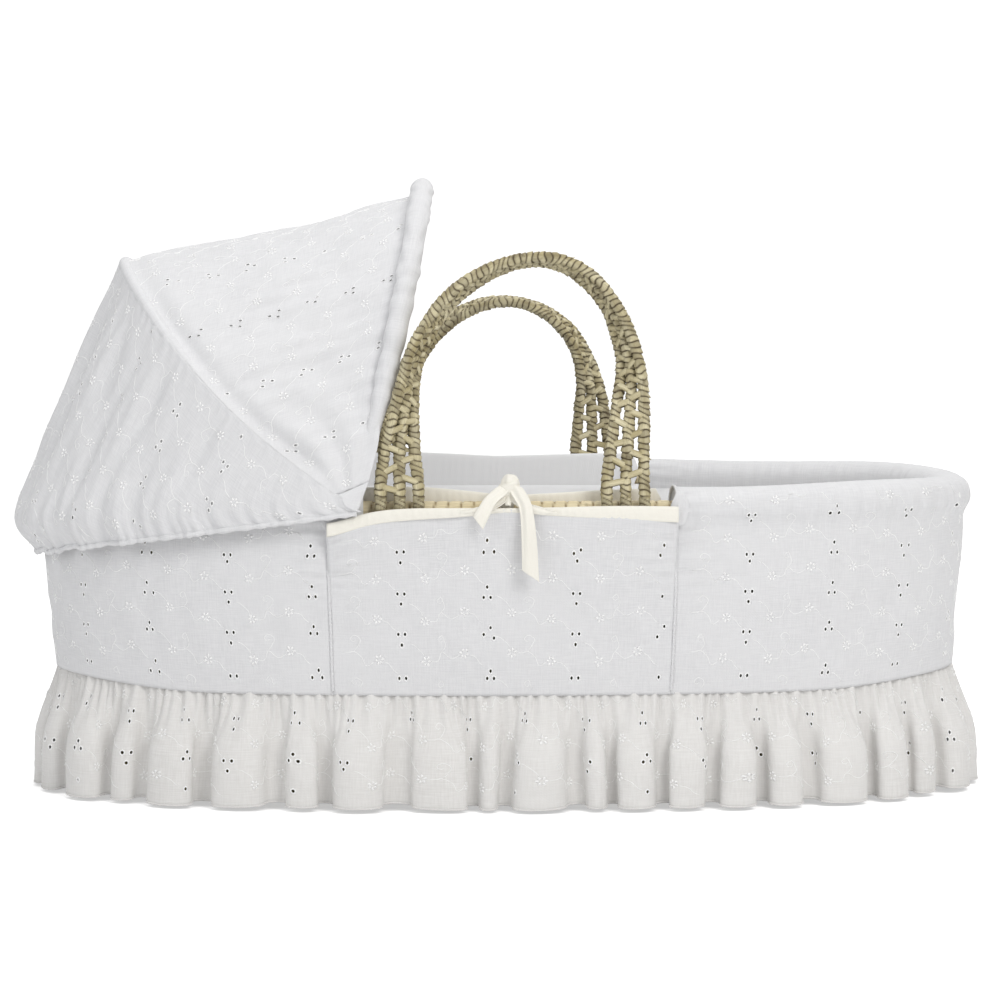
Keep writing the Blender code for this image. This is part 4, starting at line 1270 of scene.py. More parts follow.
for label, side, panel, *_ in SIDES:
    outer_tape(label, side, panel)
    inner_tape(label, side, panel)
for label, side, _, head_seam, foot_seam in SIDES:
    corner_cloth(label, side, "head", head_seam, (-0.006, 0.034), foot=0.246, top=0.2655)
    corner_cloth(label, side, "foot", foot_seam, (-0.006, 0.010), foot=0.250, top=0.2800)
for label, _, panel, head_seam, foot_seam in SIDES:
    seam_allowance(label + "_head_seam_allowance", head_seam, panel)
    seam_allowance(label + "_foot_seam_allowance", foot_seam, panel)
rim_end("left_head_rim_end", HEAD[1], -1)
rim_end("right_head_rim_end", HEAD[0], 1)
rim_end("left_foot_rim_end", FOOT[0], 1)
rim_end("right_foot_rim_end", FOOT[1], -1)


# ------------------------------------------------------------------ ribbon ties
def beside(x, off, z, side):
    """Points off metres outside the rim, level with x."""
    return stack(x, side * (rim_y(np.asarray(x, float)) + off), z)


def ribbon(name, path, fold, side, *nodes, tip=0.0, thick=0.0006, cells=14, steps=70):
    """A flat ribbon. Path rows: x, offset from the rim, z, width, turn in radians.
    fold(across, along) lifts the cloth out of its plane; tip slants the free end."""
    rows = spline(path, steps)
    line = beside(rows[:, 0], rows[:, 1], rows[:, 2], side)
    tangent = unit(np.gradient(line, axis=0))
    level = unit(np.array([1.0, 0, 0]) - tangent * tangent[:, :1])
    turn = rows[:, 4:5]
    wide = level * np.cos(turn) + np.cross(tangent, level) * np.sin(turn)
    out = np.cross(tangent, wide)
    out = out * np.sign(out[:, 1:2] * side + 1e-9)
    across, along = np.meshgrid(np.linspace(-0.5, 0.5, cells + 1), np.linspace(0, 1, steps),
                                indexing="ij")
    points = (line + wide * (across * rows[:, 3])[..., None]
              + out * fold(across, along)[..., None]
              + tangent * (tip * across * smooth(along, 0.6, 1.0))[..., None])
    half = unit(np.cross(np.gradient(points, axis=0), np.gradient(points, axis=1))) * thick / 2
    cloth = stack(across * 0.012, distance_along(line))
    build = Build()
    build.skin(build.add(points + half, cloth), build.add(points - half, cloth))
    attach(build.make(name, [RIBBON]), "cream_ribbon", *nodes)


def knot(label, side):
    """A tied knot: a pleated core drawn upright and a wrap pulled across it."""
    centre = beside(-0.0030, 0.0092, 0.2794 if side < 0 else 0.2715, side)
    half_tall = 0.0160 if side < 0 else 0.0110
    polar, angle = np.meshgrid(np.linspace(0, pi, 40), 2 * pi * np.arange(40) / 40,
                               indexing="ij")
    pleat = (1 + 0.07 * np.sin(4 * angle + 2.6 * np.cos(polar) + 0.6)
             + 0.03 * np.sin(7 * angle - 3 * polar))
    girth = np.sin(polar) ** 0.55 * pleat * (1 - 0.06 * bump(polar, 1.35, 0.30))
    x, y = 0.0083 * girth * np.cos(angle), 0.0080 * girth * np.sin(angle)
    z = half_tall * np.cos(polar) + 0.0012 * np.sin(2 * angle) * np.sin(polar)
    tilt = 0.16
    build = Build()
    ids = build.add(stack(x * math.cos(tilt) + z * math.sin(tilt), y,
                          z * math.cos(tilt) - x * math.sin(tilt)) + centre,
                    stack(angle * 0.006, polar * 0.012))
    build.quads(grid_faces(ids, close_columns=True))
    core = build.make(label + "_knot_core", [RIBBON])

    # the wrap: a flat tape pulled round the core's waist
    turn = 2 * pi * np.arange(72) / 72
    line = centre + stack(0.0084 * np.cos(turn), 0.0082 * np.sin(turn),
                          0.0030 * np.cos(turn + 0.5) + 0.0020)
    up = np.array([0, 0, 1.0])
    out = unit(np.cross(unit(np.roll(line, -1, 0) - np.roll(line, 1, 0)), up))
    angle = 2 * pi * np.arange(22) / 22
    turn = turn[:, None]
    tall = 0.0062 * (1 + 0.22 * np.sin(turn * 2 + 1))
    fold = 0.0005 * np.sin(9.3 * np.sin(angle) + 4 * np.cos(turn))
    build = Build()
    ids = build.add(line[:, None] + up * (tall * np.sin(angle))[..., None]
                    + out[:, None] * (0.0013 * np.cos(angle) + fold)[..., None],
                    stack(turn * 0.008, angle * 0.002))
    build.quads(grid_faces(ids, close_rows=True, close_columns=True))
    wrap = build.make(label + "_knot_wrap", [RIBBON])
    for piece in (core, wrap):
        face_outwards(piece, merge=True)
    attach(core, "cream_ribbon", label + "_tie_knot")
    attach(wrap, "cream_ribbon")


# Ribbon paths: x, offset from the rim, z, width, turn
LOOP_PATHS = {
    "left": [(-.0038, .0215, .2690, .0040, 0), (-.0037, .0195, .2720, .0055, 0),
             (-.0035, .0165, .2760, .0070, 0), (-.0030, .0120, .2815, .0085, 0),
             (-.0030, .0010, .2840, .0100, 0), (-.0035, -.0100, .2815, .0110, 0),
             (-.0040, -.0158, .2745, .0120, 0), (-.0040, -.0172, .2660, .0120, 0)],
    "right": [(-.0040, .0215, .2660, .0040, 0), (-.0038, .0205, .2680, .0055, 0),
              (-.0035, .0180, .2710, .0070, 0), (-.0030, .0140, .2740, .0085, 0),
              (-.0030, .0060, .2760, .0085, 0)]}
# Gathered ribbon on either side of the knot, its first column the distance from GATHER_X
GATHER_X = -0.003
GATHER_PATH = [(.0420, .0250, .2625, .0040, 0), (.0300, .0254, .2640, .0062, 0),
               (.0190, .0246, .2668, .0074, 0), (.0110, .0215, .2705, .0078, 0),
               (.0040, .0165, .2755, .0078, 0), (.0010, .0120, .2790, .0070, 0)]
LONG_PATH = [(.0005, .0130, .2860, .0080, 0), (.0042, .0195, .2815, .0115, 0.05),
             (.0105, .0275, .2700, .0110, 0.1), (.0128, .0300, .2560, .0118, 0.05),
             (.0140, .0296, .2420, .0130, -0.05), (.0150, .0278, .2270, .0138, -0.1),
             (.0156, .0262, .2080, .0146, -0.05)]
SHORT_PATH = [(-.0055, .0130, .2855, .0080, 0), (-.0105, .0198, .2810, .0115, 0),
              (-.0190, .0265, .2740, .0110, 0.1), (-.0245, .0300, .2650, .0118, 0.15),
              (-.0300, .0305, .2545, .0126, 0.1)]


def sunk(path, sink):
    """The path with its first two rows lowered to start at the knot."""
    rows = np.array(path, float)
    rows[:2, 2] -= (sink, sink * 0.6)
    return rows


def loop_fold(across, along):
    return 0.0007 * np.cos(across * 5.5)


def gather_fold(across, along):
    return 0.0006 * np.cos(across * 9.0 + 0.6) * (0.4 + along)


def long_fold(across, along):
    return (0.0014 * np.sin(across * 6.2 + 0.8 + 1.6 * along) * (1 - 0.25 * along)
            + 0.0003 * np.cos(across * 13 + 3 * along))


def short_fold(across, along):
    return (0.0008 * np.sin(across * 5.5 + 2.4 + 0.6 * along)
            + 0.00025 * np.cos(across * 15 - 2 * along))


for label, side, *_ in SIDES:
    sink = RIGHT_DROP if side > 0 else 0.0
    knot(label, side)
    ribbon(label + "_tie_loop", LOOP_PATHS[label], loop_fold, side)
    for end, way in (("head", -1), ("foot", 1)):
        path = [(GATHER_X + way * row[0], *row[1:]) for row in GATHER_PATH]
        ribbon("%s_gather_%s" % (label, end), path, gather_fold, side, thick=0.0009)
    ribbon(label + "_ribbon_long", sunk(LONG_PATH, sink), long_fold, side,
           label + "_tie_tail_long", tip=0.011, cells=24, steps=110)
    ribbon(label + "_ribbon_short", sunk(SHORT_PATH, sink), short_fold, side,
           label + "_tie_tail_short", tip=0.006, cells=22)

# ------------------------------------------------------------------ handles
# Stations of each handle: x, height over the hinge line, pitch of its cords, twist in degrees
LEFT_HANDLE = [
    (-.0975, .0, .0165, 0), (-.0975, .015, .0160, 0), (-.0975, .035, .0135, 0),
    (-.0955, .058, .0115, 25), (-.0925, .080, .0105, 42), (-.0885, .105, .0103, 60),
    (-.0820, .128, .0103, 65), (-.0700, .150, .0103, 68), (-.0550, .170, .0103, 72),
    (-.0350, .187, .0103, 76), (-.0100, .200, .0103, 82), (.0180, .2065, .0103, 85),
    (.0450, .203, .0103, 80), (.0670, .190, .0103, 72), (.0840, .170, .0103, 68),
    (.0945, .148, .0103, 60), (.1015, .125, .0105, 52), (.1040, .103, .0108, 35),
    (.1030, .080, .0120, 12), (.1005, .045, .0140, 0), (.0985, .015, .0160, 0),
    (.0985, .0, .0165, 0)]
RIGHT_HANDLE = [
    (-.0975, .0, .0165, 0), (-.0975, .015, .0160, 0), (-.0970, .035, .0135, 0),
    (-.0940, .065, .0110, 30), (-.0870, .090, .0103, 50), (-.0750, .113, .0103, 62),
    (-.0560, .134, .0103, 68), (-.0330, .149, .0103, 74), (-.0060, .158, .0103, 82),
    (.0220, .1575, .0103, 84), (.0470, .147, .0103, 76), (.0670, .130, .0103, 68),
    (.0810, .107, .0103, 58), (.0880, .080, .0108, 36), (.0900, .050, .0128, 8),
    (.0905, .015, .0160, 0), (.0905, .0, .0165, 0)]
# name, sign of y, outward lean, stations
HANDLES = (("left", -1, math.radians(8.0), LEFT_HANDLE),
           ("right", 1, math.radians(-2.0), RIGHT_HANDLE))
CORD_RADIUS = 0.0050
CORD_END_DROP, CORD_END_Z = 0.0022, 0.2738


class Band:
    """A handle's middle line and its directions across, facing and along, at each sample."""

    def __init__(self, stations, side, lean, count=1400):
        self.up = np.array([0, -side * math.sin(lean), math.cos(lean)])
        out = np.array([0, side * math.cos(lean), math.sin(lean)])
        length_wise = np.array([1.0, 0, 0])
        fine = catmull_rom(stations, 60)
        run = distance_along(fine[:, :2])
        self.run = np.linspace(0, run[-1], count)
        rows = sample_rows(fine, run, self.run)
        slope = np.gradient(rows[:, :2], axis=0)
        slope = unit(stack(*(np.convolve(np.pad(part, 4, mode="edge"), np.ones(9) / 9,
                                         mode="valid") for part in slope.T)))
        self.along = length_wise * slope[:, :1] + self.up * slope[:, 1:]
        wide = unit(np.cross(out[None], self.along) * -side)
        twist = np.radians(rows[:, 3:])
        self.across = wide * np.cos(twist) + out * np.sin(twist)
        self.face = out * np.cos(twist) - wide * np.sin(twist)
        self.middle = (np.array([0, side * HINGE_Y, HINGE_Z]) + length_wise * rows[:, :1]
                       + self.up * rows[:, 1:2])
        self.pitch = rows[:, 2]
        self.radius = np.minimum(CORD_RADIUS, self.pitch / 2 - 0.0005)


def leaf_wrap(seed):
    """Leaf strips wound round a cord at a slant: their relief, and their painted shade at the strip
    edges with a random tone for each strip.
    """
    lift = np.random.default_rng(seed).uniform(-0.0003, 0.0004, 4096)

    def strips(run, angle):
        place = (run / 0.0052 + angle / (2 * pi) + 0.24 * np.sin(run * 90 + angle)
                 + 0.18 * np.sin(run * 231 + 2 * angle))
        i = np.floor(place).astype(int)
        share = place - i
        return i, share, np.minimum(share, 1 - share)

    def relief(run, angle):
        i, share, edge = strips(run, angle)
        return (0.00115 * share ** 0.7 - 0.0006 - 0.0006 * np.exp(-(edge / 0.06) ** 2)
                + lift[i % 4096] + 0.00012 * np.sin(angle * 11 + i * 2.4))

    def shade(run, angle):
        i, _, edge = strips(run, angle)
        own = (lift[(i * 7) % 4096] + 0.0003) / 0.0007
        # painted shade at the strip edges, times a random tone for each strip
        return np.clip((1 - 0.97 * np.exp(-(edge / 0.13) ** 2))
                       * (0.62 + 0.38 * own + 0.10 * np.sin(angle * 2 + i)), 0, 1)
    return relief, shade


def cord(name, band, k, seed):
    """One of a handle's three cords; both ends run a little below the hinge line."""
    line = band.middle + band.across * (k * band.pitch)[:, None]
    drop = band.up * CORD_END_DROP
    line = np.vstack([line[:1] - drop, line, line[-1:] - drop])
    line[[0, -1], 2] = np.minimum(line[[0, -1], 2], CORD_END_Z)
    radius = np.pad(band.radius, 1, mode="edge")
    run = np.concatenate([band.run[:1] - CORD_END_DROP, band.run,
                          band.run[-1:] + CORD_END_DROP])
    keep = slice(None)
    # shade: painted shade at the strip edges and a random tone for each strip
    relief, shade = leaf_wrap(seed)
    piece = tube_object(name, line[keep], (radius * (1.0 + 0.05 * np.sin(run * 70 + k)))[keep],
                        20, PALM, hint=(1, 0, 0), relief=relief, shade=shade)
    face_outwards(piece)
    return piece


# Section of a binding strip: share of its half width, share of its thickness, shade (painted shade,
# darker at the edges and underneath)
STRIP_SECTION = np.array([
    (-1, -.3, .35), (-.9, .55, .8), (-.35, 1.0, 1.0), (.3, .85, 1.0), (.9, .6, .8),
    (1, -.3, .35), (.5, -.8, .3), (-.5, -.8, .3)])


def binding_strip(build, band, i, number, width):
    """One binding strip round two neighbouring cords, crossing them at a slant."""
    angle = 2 * pi * np.arange(40) / 40
    pair = 1 if number % 2 == 0 else -1
    way = 1 if number % 4 < 2 else -1
    slant = 0.0030 + 0.0030 * math.sin(number * 2.3) ** 2
    radius, reach = float(band.radius[i]), float(band.pitch[i]) / 2
    middle = band.middle[i] + band.across[i] * (pair * band.pitch[i] / 2)
    wide = signed_power(np.cos(angle), 0.8) * (reach + 0.35 * radius)
    deep = signed_power(np.sin(angle), 0.8) * (radius * 0.86)
    line = (middle + band.across[i] * wide[:, None] + band.face[i] * deep[:, None]
            + band.along[i] * (way * slant * wide / (reach + radius))[:, None])
    tangent = unit(np.roll(line, -1, 0) - np.roll(line, 1, 0))
    out = line - middle
    out = unit(out - tangent * np.sum(out * tangent, 1, keepdims=True))
    side = np.cross(tangent, out)
    share, depth, shade = STRIP_SECTION.T[..., None]
    points = (line[:, None] + side[:, None] * (width / 2 * share)
              + out[:, None] * (0.0011 * depth))
    cloth = stack(share[:, 0] * width / 2,
                  (angle * (reach + radius) * 0.8)[:, None] + number * 0.031)
    # the section's shade column paints shade on the strip's edges and underside
    ids = build.add(points, cloth, shade[:, 0])
    build.quads(grid_faces(ids, close_rows=True, close_columns=True)[:, FLIP])


def leaf_ends(build, band, seed):
    """Leaf ends that stick out along the band's edges."""
    rng = np.random.default_rng(seed)
    cloth = np.array([[0.001, 0], [0.002, 0.001], [0.003, 0], [0.002, 0.001], [0.002, 0.004]])
    for _ in range(150):
        i = int(rng.integers(20, len(band.run) - 20))
        k = rng.choice([-1, 1])
        out = unit(band.across[i] * k * math.cos(rng.uniform(-0.9, 0.9))
                   + band.face[i] * math.sin(rng.uniform(-0.9, 0.9)))
        root = (band.middle[i] + band.across[i] * (k * band.pitch[i])
                + out * (float(band.radius[i]) * 0.75))
        thin = np.cross(out, band.along[i]) * 0.0003
        length, half = rng.uniform(0.0018, 0.0034), rng.uniform(0.0012, 0.0022)
        wide = band.along[i] * half
        tip = root + out * length + band.along[i] * rng.uniform(0.3, 1.2) * length
        ids = build.add([root + wide, root + thin, root - wide, root - thin, tip],
                        cloth + i * 0.003)
        build.tris(ids[[[0, 1, 4], [1, 2, 4], [2, 3, 4], [3, 0, 4]]])
        build.quads(ids[[3, 2, 1, 0]])


def bindings(name, band, side):
    """Strips spaced wider at the feet than round the arch, and loose leaf ends."""
    build = Build()
    place, number, total = 0.0065, 0, band.run[-1]
    while place < total - 0.006:
        edge = min(place, total - place)
        i = int(np.searchsorted(band.run, place))
        binding_strip(build, band, i, number, width=0.0054 if edge < 0.09 else 0.0050)
        place += 0.0086 if edge < 0.085 else 0.0070
        number += 1
    leaf_ends(build, band, 7 + side)
    return build.make(name, [PALM])


def handle(label, side, lean, stations):
    body = label + "_handle"
    band = Band(stations, side, lean)
    pieces = [(cord("%s_cord_%s" % (body, word), band, k, 100 + k + 10 * side),
               "%s_%s_cord" % (body, word))
              for word, k in (("outer", 1), ("middle", 0), ("inner", -1))]
    pieces.append((bindings(body + "_bindings", band, side), None))
    for piece, node in pieces:
        attach_between(piece, "palm_leaf", ("basket", body), (0, side * HINGE_Y, 0.2742),
                       (0, side * HINGE_Y, 0.2800),
                       lambda points: smooth(points[:, 2], CORD_END_Z, 0.2790), node)


# Line of a sewn end up the outside of the wall: offset from the plan curve, z
SEWN_PROFILE = [(.0066, .112), (.0066, .150), (.0066, .190), (.0068, .228), (.0110, .243),
                (.0142, .256), (.0148, .266), (.0150, .2745)]


def sewn_end(label, end, side, centre_x):
    """A handle's end: three cords sewn flat to the outside of the wall."""
    build = Build()
    off, z = spline(SEWN_PROFILE, 260).T
    for k in (-1, 0, 1):
        x = centre_x + k * (0.0125 + 0.0040 * smooth(z, 0.20, 0.272))
        theta = np.array([theta_at(float(station), side) for station in x])
        y = np.where(z > 0.262, side * (rim_y(x) + off), plan(theta, z, off)[:, 1])
        # the last stretch meets the hinge line exactly
        meet = smooth(z, 0.245, 0.274)
        y = y * (1 - meet) + side * HINGE_Y * meet
        # shade: painted shade at the strip edges and a random tone for each strip
        relief, shade = leaf_wrap(300 + k)
        add_tube(build, stack(x, y, z), 0.0030 + 0.0018 * smooth(z, 0.235, 0.268), 16,
                 hint=(1, 0, 0), relief=lambda run, angle: 0.7 * relief(run, angle),
                 shade=shade)
    piece = build.make("%s_handle_%s_sewn_end" % (label, end), [PALM])
    face_outwards(piece)
    attach(piece, "palm_leaf", "%s_handle_%s_tail" % (label, end))


for label, side, lean, stations in HANDLES:
    handle(label, side, lean, stations)
for label, side, _, stations in HANDLES:
    sewn_end(label, "head", side, stations[0][0])
    sewn_end(label, "foot", side, stations[-1][0])


# ------------------------------------------------------------------ hood hoops
def hoop_curve(hoop, phi):
    """Points of a hoop, their rise from the pivot, and its forward and outward directions."""
    angle, height, half = hoop["angle"], hoop["height"], hoop["half"]
    rise = np.maximum(np.sin(phi), 0.0) ** (2 / HOOP_POWER)
    y = -signed_power(np.cos(phi), 2 / HOOP_POWER)
    upward = np.array([math.sin(angle), 0, math.cos(angle)])
    forward = np.array([math.cos(angle), 0, -math.sin(angle)])
    side = np.array([0, 1.0, 0])
    bow = hoop["bow"] * np.sin(pi * np.minimum(rise, 1.0))
    points = (PIVOT + upward * (height * rise)[..., None] + side * (half * y)[..., None]
              + forward * bow[..., None])
    outward = unit(upward * (rise ** (HOOP_POWER - 1) / height)[..., None]
                   + side * (signed_power(y, HOOP_POWER - 1) / half)[..., None])
    return points, height * rise, forward, outward


def hoop_phi(hoop, foot, share):
    """Parameters at shares of a hoop's length between its two points foot metres up."""
    start = math.asin((foot / hoop["height"]) ** (HOOP_POWER / 2))
    phi = np.linspace(start, pi - start, 4001)
    run = distance_along(hoop_curve(hoop, phi)[0])
    return np.interp(share, run / run[-1], phi)


COVER_Y = 0.2155                 # least |y| of the cloth beside the pivots


def keep_outside(points, amount):
    """Near the pivots the cloth passes outside the pins."""
    y = points[..., 1]
    side = np.where(y >= 0, 1.0, -1.0)
    points[..., 1] = np.where(np.abs(y) < COVER_Y,
                              y * (1 - amount) + side * COVER_Y * amount, y)
    return points


def roll_radius(rise):
    return 0.0044 + 0.0046 * smooth(rise, 0.030, 0.125)


def front_edge(share):
    points, rise, forward, outward = hoop_curve(FRONT_HOOP, hoop_phi(FRONT_HOOP, 0.024, share))
    high = smooth(rise, 0.050, 0.125)
    points = (points
              + outward * ((roll_radius(rise) + 0.0022) * (1 - high) - 0.0066 * high)[:, None]
              + forward * (0.0075 * (1 - high) - 0.0052 * high)[:, None])
    return keep_outside(points, 1 - smooth(rise, 0.02, 0.06))


def rear_edge(share):
    points, rise, _, outward = hoop_curve(REAR_HOOP, hoop_phi(REAR_HOOP, 0.017, share))
    return keep_outside(points + outward * 0.0044, 1 - smooth(rise, 0.02, 0.07))


def head_line(share, end_x, z_span, power, off_span, fade):
    """A line round the head end, left to right; spans run from its middle to its ends."""
    edge = np.abs(2 * share - 1)
    theta = np.where(share < 0.5, pi + (theta_at(end_x, -1) - pi) * edge,
                     pi + (theta_at(end_x, 1) - pi) * edge)
    z = z_span[0] + (z_span[1] - z_span[0]) * edge ** power
    off = off_span[0] + (off_span[1] - off_span[0]) * smooth(edge, *fade)
    return plan(theta, RIM_Z, off, z)


# ------------------------------------------------------------------ hood cloth
def spline_weights(t):
    """Catmull-Rom weights of the four points about a span."""
    return (0.5 * (-t + 2 * t ** 2 - t ** 3), 0.5 * (2 - 5 * t ** 2 + 3 * t ** 3),
            0.5 * (t + 4 * t ** 2 - 3 * t ** 3), 0.5 * (-t ** 2 + t ** 3))


class Patch:
    """A surface through a grid of points over the unit square, smooth in both directions."""

    def __init__(self, points):
        grid = np.pad(points, ((1, 1), (1, 1), (0, 0)), mode="edge")
        grid[0], grid[-1] = 2 * grid[1] - grid[2], 2 * grid[-2] - grid[-3]
        grid[:, 0] = 2 * grid[:, 1] - grid[:, 2]
        grid[:, -1] = 2 * grid[:, -2] - grid[:, -3]
        self.grid, self.rows, self.columns = grid, points.shape[0] - 1, points.shape[1] - 1

    def __call__(self, first, second):
        row, column = np.broadcast_arrays(np.asarray(first, float) * self.rows,
                                          np.asarray(second, float) * self.columns)
        i = np.clip(np.floor(row).astype(int), 0, self.rows - 1)
        j = np.clip(np.floor(column).astype(int), 0, self.columns - 1)
        row_weights, column_weights = spline_weights(row - i), spline_weights(column - j)
        out = 0
        for x in range(4):
            for y in range(4):
                out = out + (self.grid[i + x, j + y]
                             * (row_weights[x] * column_weights[y])[..., None])
        return out


HOOD_INSIDE = np.array([-0.22, 0, 0.30])
SHARES = np.linspace(0, 1, 161)


class HoodCloth:
    """A part of the hood. share runs along the arch from left to right, fall from 0 to 1
    down the lines; relief(share, fall, length) moves the cloth outwards."""

    def __init__(self, lines, samples, width, relief):
        runs = [distance_along(line) for line in lines]
        self.lengths = np.array([run[-1] for run in runs])
        points = np.array([sample_rows(line, run, np.linspace(0, run[-1], samples))
                           for line, run in zip(lines, runs)])
        self.base = Surface(Patch(points), (0.002, 0.002))
        outwards = (self.base.normals(0.5, 0.5)
                    @ (self.base.point(0.5, 0.5) - HOOD_INSIDE)) > 0
        self.sign = 1.0 if outwards else -1.0
        self.width, self.relief = width, relief
        self.surface = Surface(
            lambda across, fall: self.point(self.share_of(across), fall), HOOD_PROBE,
            lambda across: self.length(self.share_of(across)))

    def length(self, share):
        return np.interp(share, SHARES, self.lengths)

    def point(self, share, fall):
        share, fall = np.broadcast_arrays(share, fall)
        lift = self.relief(share, fall, self.length(share)) * self.sign
        return self.base.place(share, fall, lift)

    def share_of(self, across):
        """Run backwards where that turns the sheet's outer face outwards."""
        return across / self.width if self.sign > 0 else 1 - across / self.width


FRONT_WIDTH, REAR_WIDTH = 0.82, 0.90
hood_broad = wave_field(91, [0.085, 0.05], 6, stretch=(1.0, 1.7))
hood_fine = wave_field(92, [0.026, 0.017], 6, stretch=(1.0, 2.2))
rear_waves = wave_field(93, [0.075, 0.045], 6, stretch=(0.55, 2.6))


def front_relief(share, fall, length):
    across, down, back = share * FRONT_WIDTH, fall * length, (1 - fall) * length
    edge = np.abs(2 * share - 1)
    arch = np.sin(pi * np.clip(fall, 0, 1))
    sag = -0.0052 * arch ** 1.1 * smooth(length, 0.03, 0.20)
    flank = smooth(edge, 0.30, 0.45) * (1 - smooth(edge, 0.80, 0.95))
    crease = (-(0.0028 + 0.0042 * flank) * bump(back, 0.0115, 0.0085)
              * smooth(length, 0.02, 0.08) * (0.8 + 0.2 * np.sin(across * 31)))
    pull = (0.0008 * np.exp(-down / 0.016) * np.sin(phase(across, 0.021, (1.6, 0.09)))
            * smooth(down, 0, 0.006))
    fan = (0.0024 * smooth(edge, 0.52, 0.92) * arch * smooth(length, 0.012, 0.07)
           * np.sin(2 * pi * fall * 2.6 + 2.4 * wave(across, 0.21) + 0.6))
    soft = ((0.0013 * hood_broad(across, down) + 0.00055 * hood_fine(across, down))
            * smooth(length, 0.02, 0.10) * np.sin(pi * np.clip(fall, 0.02, 0.98)) ** 0.5)
    inside = smooth(fall, 0.0, 0.06) * (1 - smooth(fall, 0.97, 1.0))
    return sag + crease + pull + (fan + soft) * inside


def hem_phase(across):
    return phase(across, 0.0125, (2.0, 0.067), (1.2, 0.151))


def rear_relief(share, fall, length):
    across, down, up = share * REAR_WIDTH, fall * length, (1 - fall) * length
    long_part = smooth(length, 0.04, 0.14)
    beat = (phase(across, 0.062, (1.5, 0.23, 0.7))
            + 5.0 * (down - 0.1) * wave(across, 0.41))
    drape = long_part * (0.0030 * np.sin(beat) * smooth(down, 0.0, 0.10)
                         * (0.55 + 0.45 * wave(across, 0.35, 2.0))
                         + 0.0016 * rear_waves(across, down) * smooth(down, 0.0, 0.05))
    beat = hem_phase(across)
    gather = (0.0019 * (np.sin(beat) + 0.45 * np.sin(0.51 * beat + 1))
              * np.exp(-up / 0.017) * smooth(up, 0.0, 0.004))
    belly = 0.0030 * bump(up, 0.030, 0.020) * long_part
    tuck = (0.0012 * np.exp(-down / 0.012) * np.sin(phase(across, 0.016, (1.4, 0.071)))
            * smooth(down, 0, 0.005))
    return drape + gather + belly + tuck


def bezier(start, first, second, end, t):
    return (start * (1 - t) ** 3 + first * 3 * (1 - t) ** 2 * t
            + second * 3 * (1 - t) * t ** 2 + end * t ** 3)


def rear_line(start, bulge, hem):
    """From the rear hoop out to the bulge over the rim, then in to the hem."""
    upper, lower = np.linalg.norm(bulge - start), np.linalg.norm(hem - bulge)
    first = bezier(start, start + (bulge - start) * 0.35,
                   bulge + np.array([0, 0, min(upper * 0.25, 0.03)]), bulge,
                   np.linspace(0, 1, 60)[:, None])
    second = bezier(bulge, bulge - np.array([0, 0, min(lower * 0.45, 0.014)]),
                    hem + (bulge - hem) * 0.30, hem, np.linspace(0, 1, 24)[1:, None])
    return np.vstack([first, second])


rear_tops = rear_edge(SHARES)
hood_front = HoodCloth(
    [start + (end - start) * np.linspace(0, 1, 40)[:, None]
     for start, end in zip(front_edge(SHARES), rear_tops)],
    41, FRONT_WIDTH, front_relief)
bulge_points = head_line(SHARES, end_x=-.1400, z_span=(0.2460, 0.2745), power=1.5,
                         off_span=(0.0370, 0.0300), fade=(0.1, 0.75))
hem_points = head_line(SHARES, end_x=-.1275, z_span=(0.2165, 0.2640), power=1.55,
                       off_span=(0.0205, 0.0290), fade=(0.15, 0.62))
hood_rear = HoodCloth(
    [rear_line(*spots) for spots in zip(rear_tops, bulge_points, hem_points)],
    61, REAR_WIDTH, rear_relief)

HOOD_SPAN = dict(start=(-0.40, 0, 0.27), end=(-0.08, 0, 0.54))


def swing_share(points, low, high):
    """Angle about the pivot line as a share of the way from low to high."""
    angle = np.arctan2(points[:, 0] - PIVOT[0], points[:, 2] - PIVOT[2])
    return np.clip((angle - low) / (high - low), 0, 1)


def front_weights(points):
    return swing_share(points, REAR_HOOP["angle"] + 0.01, FRONT_HOOP["angle"] - 0.05)


def rear_weights(points):
    """1 on the rear hoop, falling to 0 at the hem and close to the pivots."""
    share = swing_share(points, math.radians(-88.0), REAR_HOOP["angle"])
    reach = np.hypot(points[:, 0] - PIVOT[0], points[:, 2] - PIVOT[2])
    return share * share * (3 - 2 * share) * smooth(reach, 0.010, 0.045)


def hood_panel(label, part, seed, bodies, weights, shift):
    """Outer cloth of a hood part, its pattern kept off the edges and the short lines."""
    width, longest = part.width, float(part.lengths.max())
    eyelets, flowers, vines = motif((0.0, width), (0.0, longest), seed, shift)

    def fitted(rows, margin):
        """Rows with y as a share of the line's length, and which of them are inside."""
        length = part.surface.v_length(rows[:, 0])
        y = rows[:, 1]
        inside = (margin < y) & (y < length - margin) & (length > 0.03)
        rows = rows.copy()
        rows[:, 1] = y / length
        return rows, inside
    eyelets, inside = fitted(eyelets, 0.007)
    eyelets = eyelets[inside]
    flowers, inside = fitted(flowers, 0.006)
    flowers = flowers[inside]
    vines = [line for line, inside in (fitted(line, 0.004) for line in vines) if inside.all()]
    panel = embroidered_sheet(
        "hood_%s_cloth" % label, part.surface, grid_axis(0.0, width, CELL * 1.02),
        np.linspace(0, 1, int(round(longest / CELL)) + 1), (eyelets, flowers, vines),
        [COTTON, THREAD])
    attach_between(panel, "embroidered_cotton", bodies, **HOOD_SPAN, weights=weights,
                   node="hood_%s_panel" % label)


